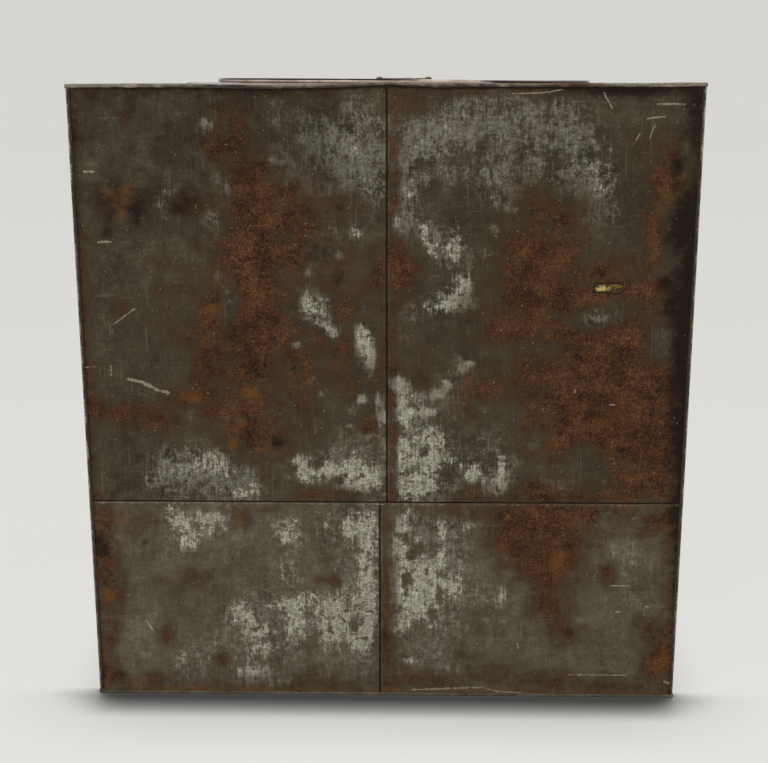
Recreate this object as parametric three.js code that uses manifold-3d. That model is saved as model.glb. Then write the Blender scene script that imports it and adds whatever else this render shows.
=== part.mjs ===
// Large square tea tin, pieced from small tinplate sheets that are hooked together with folded lock seams.
// Millimetres, +Z up, origin at the middle of the base. The plain back wall faces -Y and the front faces +Y.

import * as THREE from 'three';
import { mergeVertices } from 'three/addons/utils/BufferGeometryUtils.js';
import Module from 'manifold-3d';

// Overall size of the tin, over its turned rims
const bodyWidth = 500;
const bodyDepth = 500;
const bodyHeight = 517;

// Tinplate, its bends and the play left between neighbours
const sheet = 0.5;
const clearance = 0.3;
const bendInside = 0.3;
const seamWidth = 6;

// Where the sheets of a wall meet: one level seam, and an upright seam above and below it
const wallSeamHeight = 176;
const upperSeamShift = 2.4;
const lowerSeamShift = -3.6;

// Laps at the corners and the turned rims of the top and the base
const cornerFlange = 4.5;
const cornerLap = 3;
const rimHeight = 3;

// Plug lid with a wired edge, a little to one side of the middle
const lidRadius = 178.5;
const neckShift = 14;
const rimWireRadius = 1;
const panelDrop = 4.6;
const panelStepDegrees = 50;
const rimLanding = 14;
const plugDepth = 20;
const plugPlay = 0.5;
const plugFlange = 16;
const plugHem = 4;

// Round neck: the lid reaches past its wall, and its seat reaches further and slopes down to the top
const lidOverlap = 16.5;
const seatWidth = 46;
const seatEdge = 3;
const seatRise = 1.6;
const seatSlopeDegrees = 4.5;
const neckDepth = 26;

// Drop handle on its boss
const bossRadius = 46;
const bossHeight = 2;
const bossStepDegrees = 40;
const bailWidth = 54;
const bailReach = 38;
const bailWireRadius = 1.2;
const bailCorner = 9;
const pivotBend = 1.8;
const pivotLength = 2.4;
const lugCrown = 1;
const lugCorner = 3;
const strapWidth = 12;
const rivetSpacing = 20;
const rivetRadius = 1.5;
const rivetHeadRadius = 3;
const rivetHeadHeight = 1.2;
const rivetClinchHeight = 0.6;

// Facets of round forms, and how far cutting solids and welded strips run past a face
const ringSides = 48;
const bossSides = 32;
const wireSides = 8;
const smallSides = 16;
const domeSteps = 4;
const bendStep = Math.PI / 4;
const overrun = 1;

// Sizes that follow from those above
const layer = sheet + clearance;
const foldInside = sheet / 2 + clearance;
const foldOutside = foldInside + sheet;
const seamDepth = 4 * sheet + 3 * clearance;
const fold = sheet + bendInside;
const jogStart = clearance + fold;
const neckRadius = lidRadius - lidOverlap;
const seatRadius = neckRadius + seatWidth;
const holeRadius = neckRadius + layer;
const seatFoot = bodyHeight + layer;
const seatTop = seatFoot + seatRise;
const beadRadius = rimWireRadius + layer;
const beadHeight = seatTop + clearance + beadRadius;
const beadTop = beadHeight + beadRadius;
const beadRing = lidRadius - beadRadius;
const panelTop = beadTop - panelDrop;
const panelUnder = panelTop - sheet;
const bossTop = panelTop + clearance + bossHeight;
const strapUnder = bossTop + clearance;
const strapTop = strapUnder + sheet;
const bailAxisHeight = strapTop + clearance + bailWireRadius;
const bailArm = bailWidth / 2 - bailWireRadius;
const lugOutside = bailArm - pivotBend - clearance;
const lugHole = bailWireRadius + clearance;
const lugTop = bailAxisHeight + lugHole + lugCrown;

const wasm = await Module();
wasm.setup();

const tin = (color, roughness, metalness) => new THREE.MeshStandardMaterial({ color, roughness, metalness });
const finishes = {
  bareTin: () => tin(0x56523f, 0.62, 0.55),
  japanned: () => tin(0x2c1a13, 0.48, 0.2),
  redJapan: () => tin(0x5e2a1e, 0.45, 0.2),
  wire: () => tin(0x3a2f26, 0.5, 0.6),
};

// Solids

function solidOf(geometry) {
  const bare = geometry.clone();
  bare.deleteAttribute('normal');
  bare.deleteAttribute('uv');
  const merged = mergeVertices(bare);
  const corners = Array.from(merged.index.array);
  const kept = [];
  for (let i = 0; i < corners.length; i += 3) {
    const [a, b, c] = corners.slice(i, i + 3);
    if (a !== b && b !== c && c !== a) {
      kept.push(a, b, c);
    }
  }
  const positions = merged.attributes.position;
  if (signedVolume(positions, kept) < 0) {
    kept.reverse();
  }
  return new wasm.Manifold(new wasm.Mesh({
    numProp: 3,
    vertProperties: new Float32Array(positions.array),
    triVerts: new Uint32Array(kept),
  }));
}

function signedVolume(positions, corners) {
  const [a, b, c] = [new THREE.Vector3(), new THREE.Vector3(), new THREE.Vector3()];
  let sum = 0;
  for (let i = 0; i < corners.length; i += 3) {
    a.fromBufferAttribute(positions, corners[i]);
    b.fromBufferAttribute(positions, corners[i + 1]);
    c.fromBufferAttribute(positions, corners[i + 2]);
    sum += a.dot(b.cross(c));
  }
  return sum;
}

function geometryOf(solid) {
  const mesh = solid.getMesh();
  const geometry = new THREE.BufferGeometry();
  geometry.setAttribute('position', new THREE.BufferAttribute(new Float32Array(mesh.vertProperties), 3));
  geometry.setIndex(new THREE.BufferAttribute(new Uint32Array(mesh.triVerts), 1));
  geometry.computeVertexNormals();
  return geometry;
}

function namedMesh(name, geometry, material) {
  const mesh = new THREE.Mesh(geometry, material);
  mesh.name = name;
  return mesh;
}

// A box between two corners. It is scaled and placed in one go, so that faces meant to meet get the same numbers.
function block(low, high) {
  const size = high.clone().sub(low);
  const middle = low.clone().add(high).multiplyScalar(0.5);
  const placed = new THREE.Matrix4().makeScale(size.x, size.y, size.z).setPosition(middle);
  return solidOf(new THREE.BoxGeometry(1, 1, 1).applyMatrix4(placed));
}

// A round solid about an upright axis: the outline is given as radius and height
function turned(outline, sides = ringSides) {
  return new THREE.LatheGeometry(outline, sides).rotateX(Math.PI / 2);
}

const closed = (outline) => [...outline, outline[0].clone()];

function plug(radius, low, high, sides = ringSides) {
  const corners = [[0, low], [radius, low], [radius, high], [0, high]];
  return solidOf(turned(corners.map(([r, z]) => new THREE.Vector2(r, z)), sides));
}

// Bent sheet metal

const run = (length) => ({ length });
const bend = (degrees, inside) => ({ angle: THREE.MathUtils.degToRad(degrees), inside });

// The outline of a sheet's section. Its middle line starts at (x, y) and follows runs and bends, and a positive
// bend turns to the left. The points come back in two rows, the left face and the right face.
function bentFaces(x, y, heading, moves) {
  const half = sheet / 2;
  const left = [];
  const right = [];
  let angle = heading;
  const mark = () => {
    const across = new THREE.Vector2(-Math.sin(angle), Math.cos(angle)).multiplyScalar(half);
    left.push(new THREE.Vector2(x, y).add(across));
    right.push(new THREE.Vector2(x, y).sub(across));
  };
  mark();
  for (const move of moves) {
    if (move.length !== undefined) {
      x += Math.cos(angle) * move.length;
      y += Math.sin(angle) * move.length;
      mark();
      continue;
    }
    const turn = Math.sign(move.angle);
    const radius = (move.inside + half) * turn;
    const centreX = x - Math.sin(angle) * radius;
    const centreY = y + Math.cos(angle) * radius;
    const slight = Math.abs(move.angle) < bendStep / 2;
    const steps = slight ? 1 : Math.max(2, Math.round(Math.abs(move.angle) / bendStep));
    for (let i = 0; i < steps; i += 1) {
      angle += move.angle / steps;
      x = centreX + Math.sin(angle) * radius;
      y = centreY - Math.cos(angle) * radius;
      mark();
    }
  }
  return { left, right };
}

function bentOutline(x, y, heading, moves) {
  const { left, right } = bentFaces(x, y, heading, moves);
  return [...left, ...right.reverse()];
}

// A step between two levels: two bends with a slope between them, and the width that they take
function levelStep(rise, degrees) {
  const angle = THREE.MathUtils.degToRad(degrees);
  const signed = Math.sign(rise) * degrees;
  const turns = 2 * (bendInside + sheet / 2) * Math.tan(angle / 2);
  const slope = Math.abs(rise) / Math.sin(angle) - turns;
  return {
    width: Math.abs(rise) / Math.tan(angle) + turns,
    moves: [bend(signed, bendInside), run(slope), bend(-signed, bendInside)],
  };
}

// A bent section drawn on the axes "along" and "inward" and pulled out square to both
function strip(outline, along, inward, from, to) {
  const pull = along.clone().cross(inward);
  const geometry = new THREE.ExtrudeGeometry(new THREE.Shape(outline), { depth: 1, bevelEnabled: false });
  const placed = new THREE.Matrix4().makeBasis(along, inward, pull.clone().multiplyScalar(to - from));
  return solidOf(geometry.applyMatrix4(placed.setPosition(pull.multiplyScalar(from))));
}

// Sections of a sheet's edge. Each is drawn across the edge: the first number runs along the sheet, the second
// inwards from its outer face. "at" is the seam line, or the outer face of a bend.

// The covering half of a lock seam: the sheet comes from the positive side and hooks back under itself
function coverOutline(at) {
  const hook = seamWidth - 2 * foldOutside;
  return bentOutline(at + foldOutside + overrun, sheet / 2, Math.PI, [
    run(overrun),
    bend(-180, foldInside),
    run(hook),
  ]);
}

// The tucked half: the sheet comes from the negative side, steps inwards, runs under and hooks forward
function tuckOutline(at) {
  const hook = seamWidth - 2 * foldOutside;
  const stepDepth = 3 * layer - 2 * bendInside - sheet;
  const under = seamWidth - foldOutside - bendInside + clearance;
  return bentOutline(at - jogStart - overrun, sheet / 2, 0, [
    run(overrun),
    bend(90, bendInside),
    run(stepDepth),
    bend(-90, bendInside),
    run(under),
    bend(-180, foldInside),
    run(hook),
  ]);
}

// An edge bent square inwards at the positive end, and its mirror image at the negative end
function bendOutline(at, reach) {
  return bentOutline(at - fold - overrun, sheet / 2, 0, [
    run(overrun),
    bend(90, bendInside),
    run(reach - fold),
  ]);
}

function mirroredBendOutline(at, reach) {
  return bendOutline(-at, reach).map((point) => new THREE.Vector2(-point.x, point.y));
}

const edgeKinds = {
  cover: { flat: foldOutside, plain: 0 },
  tuck: { flat: jogStart, plain: clearance },
  bend: { flat: fold, plain: 0 },
  cut: { flat: 0, plain: 0 },
};

const right = new THREE.Vector3(1, 0, 0);
const inwards = new THREE.Vector3(0, 1, 0);
const upwards = new THREE.Vector3(0, 0, 1);
const down = new THREE.Vector3(0, 0, -1);

// One flat sheet with worked edges, in its panel's frame: X to the right as seen from outside, Y inwards, Z up.
// Each edge has a kind, its line "at", the stretch "from" and "to" that is worked, and "reach" for a bend. A seam
// always has its covering sheet on the right or below.
function workedSheet({ left: west, right: east, low, high }) {
  const plainOf = (edge) => edge.plain ?? edgeKinds[edge.kind].plain;
  const flatOf = (edge) => edgeKinds[edge.kind].flat;
  const [x0, x1] = [west.at + plainOf(west), east.at - plainOf(east)];
  const [z0, z1] = [low.at + plainOf(low), high.at - plainOf(high)];
  let body = block(new THREE.Vector3(x0, 0, z0), new THREE.Vector3(x1, sheet, z1));
  const cut = (ax, bx, az, bz) => {
    const low3 = new THREE.Vector3(ax, -overrun, az);
    body = body.subtract(block(low3, new THREE.Vector3(bx, sheet + overrun, bz)));
  };
  const strips = [];
  if (west.kind !== 'cut') {
    cut(x0 - overrun, west.at + flatOf(west), west.from, west.to);
    const outline = west.kind === 'cover' ? coverOutline(west.at) : mirroredBendOutline(west.at, west.reach);
    strips.push(strip(outline, right, inwards, west.from, west.to));
  }
  if (east.kind !== 'cut') {
    cut(east.at - flatOf(east), x1 + overrun, east.from, east.to);
    const outline = east.kind === 'tuck' ? tuckOutline(east.at) : bendOutline(east.at, east.reach);
    strips.push(strip(outline, right, inwards, east.from, east.to));
  }
  if (low.kind !== 'cut') {
    cut(low.from, low.to, z0 - overrun, low.at + flatOf(low));
    const outline = low.kind === 'tuck' ? tuckOutline(-low.at) : bendOutline(-low.at, low.reach);
    strips.push(strip(outline, down, inwards, low.from, low.to));
  }
  if (high.kind !== 'cut') {
    cut(high.from, high.to, high.at - flatOf(high), z1 + overrun);
    const outline = high.kind === 'cover' ? coverOutline(-high.at) : mirroredBendOutline(-high.at, high.reach);
    strips.push(strip(outline, down, inwards, high.from, high.to));
  }
  return strips.reduce((whole, piece) => whole.add(piece), body);
}

// A panel of four sheets. The level seam hooks the upper row into the lower row, and in each row an upright seam
// hooks the left sheet under the right one. The upright hooks stop short of the level seam's folds.
function panelSheets({ side, low, high, seamLevel, seamShift, levelStop, uprightStop }) {
  const rows = {
    lower: {
      low,
      high: { kind: 'cover', at: seamLevel, stop: levelStop },
      upright: { from: low.at + uprightStop, to: seamLevel - seamWidth - clearance },
      side: { ...side, to: seamLevel },
    },
    upper: {
      low: { kind: 'tuck', at: seamLevel, stop: levelStop },
      high,
      upright: { from: seamLevel + jogStart + overrun + clearance, to: high.at - uprightStop },
      side: { ...side, from: seamLevel + clearance },
    },
  };
  const outer = (edge) => side.at - (edge.stop ?? 0);
  const solids = {};
  for (const [row, edges] of Object.entries(rows)) {
    const seam = seamShift[row];
    const leftPart = (edge) => ({ ...edge, from: -outer(edge), to: seam - clearance });
    const rightPart = (edge) => ({ ...edge, from: seam, to: outer(edge) });
    solids[`${row} left`] = workedSheet({
      left: { ...edges.side, at: -side.at },
      right: { kind: 'tuck', at: seam, ...edges.upright },
      low: leftPart(edges.low),
      high: leftPart(edges.high),
    });
    solids[`${row} right`] = workedSheet({
      left: { kind: 'cover', at: seam, ...edges.upright },
      right: edges.side,
      low: rightPart(edges.low),
      high: rightPart(edges.high),
    });
  }
  return solids;
}

// Walls

const wallLow = layer;
const wallHigh = bodyHeight - layer;

// The back and front walls turn inwards at the corners, inside the side walls
function flangedWall() {
  const side = bodyWidth / 2 - 2 * layer;
  return panelSheets({
    side: { kind: 'bend', at: side, reach: cornerFlange, from: wallLow, to: wallHigh },
    low: { kind: 'cut', at: wallLow },
    high: { kind: 'cut', at: wallHigh },
    seamLevel: wallSeamHeight,
    seamShift: { lower: lowerSeamShift, upper: upperSeamShift },
    levelStop: fold + overrun + clearance,
    uprightStop: 0,
  });
}

// The side walls wrap round the corners and lap over the back and front walls, between the turned rims
function lappedWall() {
  return panelSheets({
    side: {
      kind: 'bend',
      at: bodyDepth / 2,
      plain: layer,
      reach: cornerLap,
      from: rimHeight + clearance,
      to: bodyHeight - rimHeight - clearance,
    },
    low: { kind: 'cut', at: wallLow },
    high: { kind: 'cut', at: wallHigh },
    seamLevel: wallSeamHeight,
    seamShift: { lower: lowerSeamShift, upper: upperSeamShift },
    levelStop: layer + cornerFlange + clearance,
    uprightStop: 0,
  });
}

// The top and the base are panels laid flat, with turned rims on all four sides and notched corners
function rimmedPanel() {
  const halfDepth = bodyDepth / 2;
  const rim = { kind: 'bend', reach: rimHeight, plain: fold, stop: fold };
  return panelSheets({
    side: { ...rim, at: bodyWidth / 2, from: fold - halfDepth, to: halfDepth - fold },
    low: { ...rim, at: -halfDepth },
    high: { ...rim, at: halfDepth },
    seamLevel: 0,
    seamShift: { lower: 0, upper: 0 },
    levelStop: layer + seamDepth + clearance,
    uprightStop: layer + seamDepth + clearance,
  });
}

function panelGroup(solids, names, material) {
  const group = new THREE.Group();
  for (const [key, name] of Object.entries(names)) {
    group.add(namedMesh(name, geometryOf(solids[key]), material()));
  }
  return group;
}

function sheetNames(wall, leftWord, rightWord) {
  const names = {};
  for (const row of ['lower', 'upper']) {
    names[`${row} left`] = `${wall}_${row}_${leftWord}`;
    names[`${row} right`] = `${wall}_${row}_${rightWord}`;
  }
  return names;
}

function walls() {
  const group = new THREE.Group();
  const faces = [
    { wall: 'back', solids: flangedWall(), words: ['left', 'right'], turn: 0, out: bodyDepth / 2 },
    { wall: 'right', solids: lappedWall(), words: ['back', 'front'], turn: Math.PI / 2, out: bodyWidth / 2 },
    { wall: 'front', solids: flangedWall(), words: ['right', 'left'], turn: Math.PI, out: bodyDepth / 2 },
    { wall: 'left', solids: lappedWall(), words: ['front', 'back'], turn: -Math.PI / 2, out: bodyWidth / 2 },
  ];
  for (const { wall, solids, words, turn, out } of faces) {
    const finish = wall === 'back' ? finishes.bareTin : finishes.japanned;
    const face = panelGroup(solids, sheetNames(wall, ...words), finish);
    face.position.set(Math.sin(turn) * (out - layer), -Math.cos(turn) * (out - layer), 0);
    face.rotation.z = turn;
    group.add(face);
  }
  return group;
}

function base() {
  const names = {
    'lower left': 'base_front_left',
    'lower right': 'base_front_right',
    'upper left': 'base_back_left',
    'upper right': 'base_back_right',
  };
  const group = panelGroup(rimmedPanel(), names, finishes.bareTin);
  group.rotation.x = Math.PI / 2;
  return group;
}

function top() {
  const names = {
    'lower left': 'top_back_left',
    'lower right': 'top_back_right',
    'upper left': 'top_front_left',
    'upper right': 'top_front_right',
  };
  const hole = plug(holeRadius, -overrun, seamDepth + overrun).rotate([-90, 0, 0]).translate([neckShift, 0, 0]);
  const solids = rimmedPanel();
  for (const key of Object.keys(solids)) {
    solids[key] = solids[key].subtract(hole);
  }
  const group = panelGroup(solids, names, finishes.redJapan);
  group.position.z = bodyHeight;
  group.rotation.x = -Math.PI / 2;
  return group;
}

// Neck: a collar through the top's hole, with a broad seat turned out over the top. The seat's edge lies on the
// top, and from there it slopes up to the landing that the lid's edge rests on.

function neck() {
  const collar = neckRadius + sheet / 2;
  const turn = bendInside + sheet / 2;
  const slope = levelStep(-seatRise, seatSlopeDegrees);
  const outline = bentOutline(seatRadius, seatFoot - sheet / 2, Math.PI, [
    run(seatEdge),
    ...slope.moves,
    run(seatRadius - seatEdge - slope.width - collar - turn),
    bend(90, bendInside),
    run(neckDepth + seatTop - bodyHeight - sheet / 2 - turn),
  ]);
  return namedMesh('neck_ring', geometryOf(solidOf(turned(closed(outline)))), finishes.redJapan());
}

// Lid

function rivetHoles(low, high) {
  const holes = [-rivetSpacing / 2, rivetSpacing / 2].map((x) => (
    plug(rivetRadius + clearance, low, high, smallSides).translate([x, 0, 0])
  ));
  return holes[0].add(holes[1]);
}

// The panel rises to a landing at its edge and curls round the rim wire
function lidPanel() {
  const step = levelStep(panelDrop, panelStepDegrees);
  const { left, right: under } = bentFaces(0, panelTop - sheet / 2, 0, [
    run(beadRing - beadRadius - rimLanding - step.width),
    ...step.moves,
    run(rimLanding + beadRadius),
    bend(-270, rimWireRadius + clearance),
  ]);
  const panel = solidOf(turned([...left, ...under.reverse()]));
  const holes = rivetHoles(panelUnder - overrun, panelTop + overrun);
  return namedMesh('lid_panel', geometryOf(panel.subtract(holes)), finishes.redJapan());
}

function lidRimWire() {
  const wire = new THREE.TorusGeometry(beadRing, rimWireRadius, wireSides, ringSides);
  const mesh = namedMesh('lid_rim_wire', wire, finishes.wire());
  mesh.position.z = beadHeight;
  return mesh;
}

// The plug hangs from a flange under the panel, slides in the neck and has a hemmed lower edge
function lidPlug() {
  const wall = neckRadius - plugPlay - sheet / 2;
  const turn = bendInside + sheet / 2;
  const flangeTop = panelUnder - clearance;
  const hemTurn = clearance / 2;
  const wallRun = flangeTop - sheet / 2 - turn - (bodyHeight - plugDepth) - hemTurn - sheet;
  const outline = bentOutline(wall - plugFlange, flangeTop - sheet / 2, 0, [
    run(plugFlange - turn),
    bend(-90, bendInside),
    run(wallRun),
    bend(-180, hemTurn),
    run(plugHem),
  ]);
  return namedMesh('lid_plug_ring', geometryOf(solidOf(turned(closed(outline)))), finishes.bareTin());
}

// Drop handle

function handleBoss() {
  const step = levelStep(sheet - bossHeight, bossStepDegrees);
  const { left, right: under } = bentFaces(0, bossTop - sheet / 2, 0, [
    run(bossRadius - step.width),
    ...step.moves,
  ]);
  const boss = solidOf(turned([...left, ...under.reverse()], bossSides));
  const holes = rivetHoles(bossTop - sheet - overrun, bossTop + overrun);
  return namedMesh('handle_boss', geometryOf(boss.subtract(holes)), finishes.redJapan());
}

// The lugs as seen along the bail's axis: as wide as the strap, with rounded upper corners
function lugFace() {
  const side = strapWidth / 2;
  const low = strapUnder - overrun;
  const shoulder = lugTop - lugCorner;
  const face = new THREE.Shape();
  face.moveTo(-side, low);
  face.lineTo(side, low);
  face.absarc(side - lugCorner, shoulder, lugCorner, 0, Math.PI / 2);
  face.absarc(lugCorner - side, shoulder, lugCorner, Math.PI / 2, Math.PI);
  return face.getPoints(domeSteps);
}

// A strap with its ends bent up into two lugs that hold the bail
function handleStrap() {
  const turn = bendInside + sheet / 2;
  const lugRun = lugTop - strapUnder - sheet / 2 - turn;
  const base = 2 * (lugOutside - sheet / 2 - turn);
  const outline = bentOutline(-lugOutside + sheet / 2, lugTop, -Math.PI / 2, [
    run(lugRun),
    bend(90, bendInside),
    run(base),
    bend(90, bendInside),
    run(lugRun),
  ]);
  const strap = strip(outline, right, upwards, -strapWidth / 2, strapWidth / 2);
  const roundedEnds = strip(lugFace(), inwards, upwards, -lugOutside - overrun, lugOutside + overrun);
  const bore = plug(lugHole, -lugOutside - overrun, lugOutside + overrun, smallSides)
    .rotate([0, 90, 0])
    .translate([0, 0, bailAxisHeight]);
  const holes = rivetHoles(strapUnder - overrun, strapTop + overrun);
  const pierced = strap.intersect(roundedEnds).subtract(bore).subtract(holes);
  return namedMesh('handle_strap', geometryOf(pierced), finishes.wire());
}

// The outline of a low dome, from its middle out to its foot. A negative height hangs it upside down.
function domeOutline(foot, height) {
  const ballRadius = (rivetHeadRadius ** 2 + height ** 2) / (2 * Math.abs(height));
  const span = Math.asin(rivetHeadRadius / ballRadius);
  const points = [];
  for (let i = 0; i <= domeSteps; i += 1) {
    const angle = (span * i) / domeSteps;
    const fall = ballRadius * (1 - Math.cos(angle));
    points.push(new THREE.Vector2(ballRadius * Math.sin(angle), foot + height - Math.sign(height) * fall));
  }
  return points;
}

function handleRivet(name, x) {
  const shoulder = strapTop + clearance;
  const clinch = panelUnder - clearance;
  const outline = [
    ...domeOutline(shoulder, rivetHeadHeight),
    new THREE.Vector2(rivetRadius, shoulder),
    new THREE.Vector2(rivetRadius, clinch),
    ...domeOutline(clinch, -rivetClinchHeight).reverse(),
  ];
  const mesh = namedMesh(name, geometryOf(solidOf(turned(outline, smallSides))), finishes.wire());
  mesh.position.x = x;
  return mesh;
}

// The bail's middle line in its own plane: straight runs joined by quarter turns
class BailLine extends THREE.Curve {
  constructor() {
    super();
    const halfPi = Math.PI / 2;
    const pivotStart = bailArm - pivotBend;
    const line = [[-pivotStart + pivotLength + clearance + sheet, 0]];
    const quarter = (x, y, radius, from, steps) => {
      for (let i = 0; i <= steps; i += 1) {
        const angle = from - (halfPi * i) / steps;
        line.push([x + radius * Math.cos(angle), y + radius * Math.sin(angle)]);
      }
    };
    quarter(-pivotStart, pivotBend, pivotBend, -halfPi, 4);
    quarter(-bailArm + bailCorner, bailReach - bailWireRadius - bailCorner, bailCorner, Math.PI, 5);
    const mirrored = line.map(([x, y]) => [-x, y]).reverse();
    this.points = [...line, ...mirrored].map(([x, y]) => new THREE.Vector3(x, y, 0));
  }

  getUtoTmapping(u) {
    return u;
  }

  getPoint(t, target = new THREE.Vector3()) {
    const last = this.points.length - 1;
    const place = Math.min(Math.max(t, 0), 1) * last;
    const index = Math.min(Math.floor(place), last - 1);
    return target.lerpVectors(this.points[index], this.points[index + 1], place - index);
  }
}

// At rest the bail lies down towards the front with its grip on the boss
function bail() {
  const path = new BailLine();
  const section = new THREE.Shape();
  section.absarc(0, 0, bailWireRadius, 0, 2 * Math.PI);
  const wire = new THREE.ExtrudeGeometry(section, {
    steps: path.points.length - 1,
    curveSegments: wireSides / 2,
    extrudePath: path,
    bevelEnabled: false,
  });
  const mesh = namedMesh('bail', geometryOf(solidOf(wire)), finishes.wire());
  const lift = bailAxisHeight - bossTop - bailWireRadius - clearance;
  mesh.position.z = bailAxisHeight;
  mesh.rotation.x = -Math.asin(lift / (bailReach - bailWireRadius));
  return mesh;
}

const lid = new THREE.Group();
lid.add(lidPanel(), lidRimWire(), lidPlug(), handleBoss(), handleStrap());
lid.add(handleRivet('handle_rivet_left', -rivetSpacing / 2), handleRivet('handle_rivet_right', rivetSpacing / 2));
lid.add(bail());

const centred = new THREE.Group();
centred.position.x = neckShift;
centred.add(neck(), lid);

const teaTin = new THREE.Group();
teaTin.add(walls(), base(), top(), centred);

export default teaTin;
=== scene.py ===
"""Looks of a large old tea tin: tinplate sheets hooked together with lock seams, bare at the back, japanned elsewhere.

Lengths are in millimetres in this script, and metres in Blender. The plain back wall faces -Y and the front +Y.
"""

import math

import bmesh
import bpy
import numpy as np
from mathutils import Matrix, Vector


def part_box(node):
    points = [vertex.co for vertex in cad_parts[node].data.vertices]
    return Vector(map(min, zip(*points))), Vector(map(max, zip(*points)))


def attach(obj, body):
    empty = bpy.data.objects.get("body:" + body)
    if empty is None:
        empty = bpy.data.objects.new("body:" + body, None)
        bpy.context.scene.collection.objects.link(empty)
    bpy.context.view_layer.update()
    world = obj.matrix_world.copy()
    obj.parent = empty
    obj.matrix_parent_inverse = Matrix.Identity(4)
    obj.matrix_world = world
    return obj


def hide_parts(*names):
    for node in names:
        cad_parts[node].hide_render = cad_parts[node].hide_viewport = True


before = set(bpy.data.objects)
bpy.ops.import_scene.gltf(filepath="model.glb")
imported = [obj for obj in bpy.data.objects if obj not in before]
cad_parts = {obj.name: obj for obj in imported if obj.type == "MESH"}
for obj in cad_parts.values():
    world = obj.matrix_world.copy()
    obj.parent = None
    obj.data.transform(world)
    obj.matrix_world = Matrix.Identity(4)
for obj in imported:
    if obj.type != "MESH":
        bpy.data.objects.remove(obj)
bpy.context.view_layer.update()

MM = 0.001


def low(node):
    return np.array(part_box(node)[0]) / MM


def high(node):
    return np.array(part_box(node)[1]) / MM


def half_width(node):
    return (high(node)[0] - low(node)[0]) / 2


# Sizes read from the frame
HALF = high("top_back_right")[0]
HEIGHT = high("top_back_right")[2]
SEAM_LEVEL = high("back_lower_left")[2]
UPPER_SEAM = low("back_upper_right")[0]
LOWER_SEAM = low("back_lower_right")[0]
WALL_OUT = -low("back_upper_left")[1]
NECK_X = (low("neck_ring")[0] + high("neck_ring")[0]) / 2
SEAT_RADIUS = half_width("neck_ring")
SEAT_TOP = high("neck_ring")[2]
NECK_FOOT = low("neck_ring")[2]
LID_RADIUS = half_width("lid_panel")
LID_TOP = high("lid_panel")[2]
WIRE_TOP, WIRE_FOOT = high("lid_rim_wire")[2], low("lid_rim_wire")[2]
PLUG_TOP, PLUG_FOOT = high("lid_plug_ring")[2], low("lid_plug_ring")[2]
PLUG_RADIUS = half_width("lid_plug_ring")
BOSS_RADIUS = half_width("handle_boss")
BOSS_TOP, BOSS_FOOT = high("handle_boss")[2], low("handle_boss")[2]

# Tinplate, its bends and folds, the same as the solids have
SHEET = 0.5
GAP = 0.3
BEND = 0.3
SEAM_WIDTH = 6.0
CORNER_FLANGE = 4.5
CORNER_LAP = 3.0
RIM = 3.0
LAYER = SHEET + GAP
FOLD = SHEET + BEND
FOLD_INSIDE = SHEET / 2 + GAP
FOLD_OUTSIDE = FOLD_INSIDE + SHEET
HOOK = SEAM_WIDTH - 2 * FOLD_OUTSIDE
JOG = GAP + FOLD
SEAM_DEPTH = 4 * SHEET + 3 * GAP
# Where a fold ends short of the next one
FOLD_CLEAR = 1.0
STOP = FOLD + FOLD_CLEAR + GAP
WALL_LOW, WALL_HIGH = LAYER, HEIGHT - LAYER

# The hole in the top, how far from it the top's seams end, and the plug's play in the neck
PLUG_PLAY = 0.5
HOLE_RADIUS = PLUG_RADIUS + (PLUG_PLAY + SHEET + GAP)
HOLE_MARGIN = 10

# The lid and the seat in section
WIRE_RADIUS = (WIRE_TOP - WIRE_FOOT) / 2
BEAD_RADIUS = WIRE_RADIUS + LAYER
BEAD_RING = LID_RADIUS - BEAD_RADIUS
LANDING = 14.0
PANEL_DROP = LID_TOP - (BOSS_FOOT - GAP)
PANEL_STEP = 50.0
SEAT_EDGE = 3.0
SEAT_SLOPE = 4.5
SEAT_RISE = SEAT_TOP - HEIGHT - LAYER
BOSS_STEP = 40.0
PLUG_FLANGE = 16.0
PLUG_HEM = 4.0

# Spacing of the mesh on the back wall, on the boss and elsewhere, and of the lines beside a worked edge
FINE = 2.5
BOSS_SPACING = 3.0
COARSE = 6.0
EDGE_LINES = (0.0, 0.8, 1.6, 2.8)
# Degrees between the points of a bend, sides of a turned piece and of its wire, and the least angle of a sharp edge
TURN_STEP = 22.5
ROUND_SIDES = 240
WIRE_SIDES = 16
SHARP_ANGLE = 35
# Lengths that count as nothing, and the steps of a millimetre by which corners are told apart
TOUCH = 1e-5
TINY = 1e-6
WELD_STEPS = 1e4
# Waves in a ripple
WAVES = 14


# Small sums

def smooth(value, start, end):
    t = np.clip((value - start) / (end - start), 0, 1)
    return t * t * (3 - 2 * t)


def fall(value, start, end):
    return 1 - smooth(value, start, end)


def hill(x, middle, width):
    return np.exp(-(((x - middle) / width) ** 2))


def ripple(u, w, seed, reach):
    """A smooth random field between about -1 and 1 whose bumps are about reach across."""
    rng = np.random.default_rng(seed)
    total = np.zeros_like(u)
    for _ in range(WAVES):
        angle, phase = rng.uniform(0, math.tau, 2)
        pace = math.tau / (reach * rng.uniform(0.8, 2.2))
        total += np.sin((u * math.cos(angle) + w * math.sin(angle)) * pace + phase)
    return total / math.sqrt(2 * WAVES)


def blotches(u, w, seed, reach, amount, level=0.0):
    """A mark between 0 and 1 that rises and falls by the amount about its level."""
    return np.clip(amount * ripple(u, w, seed, reach) + level, 0, 1)


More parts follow.
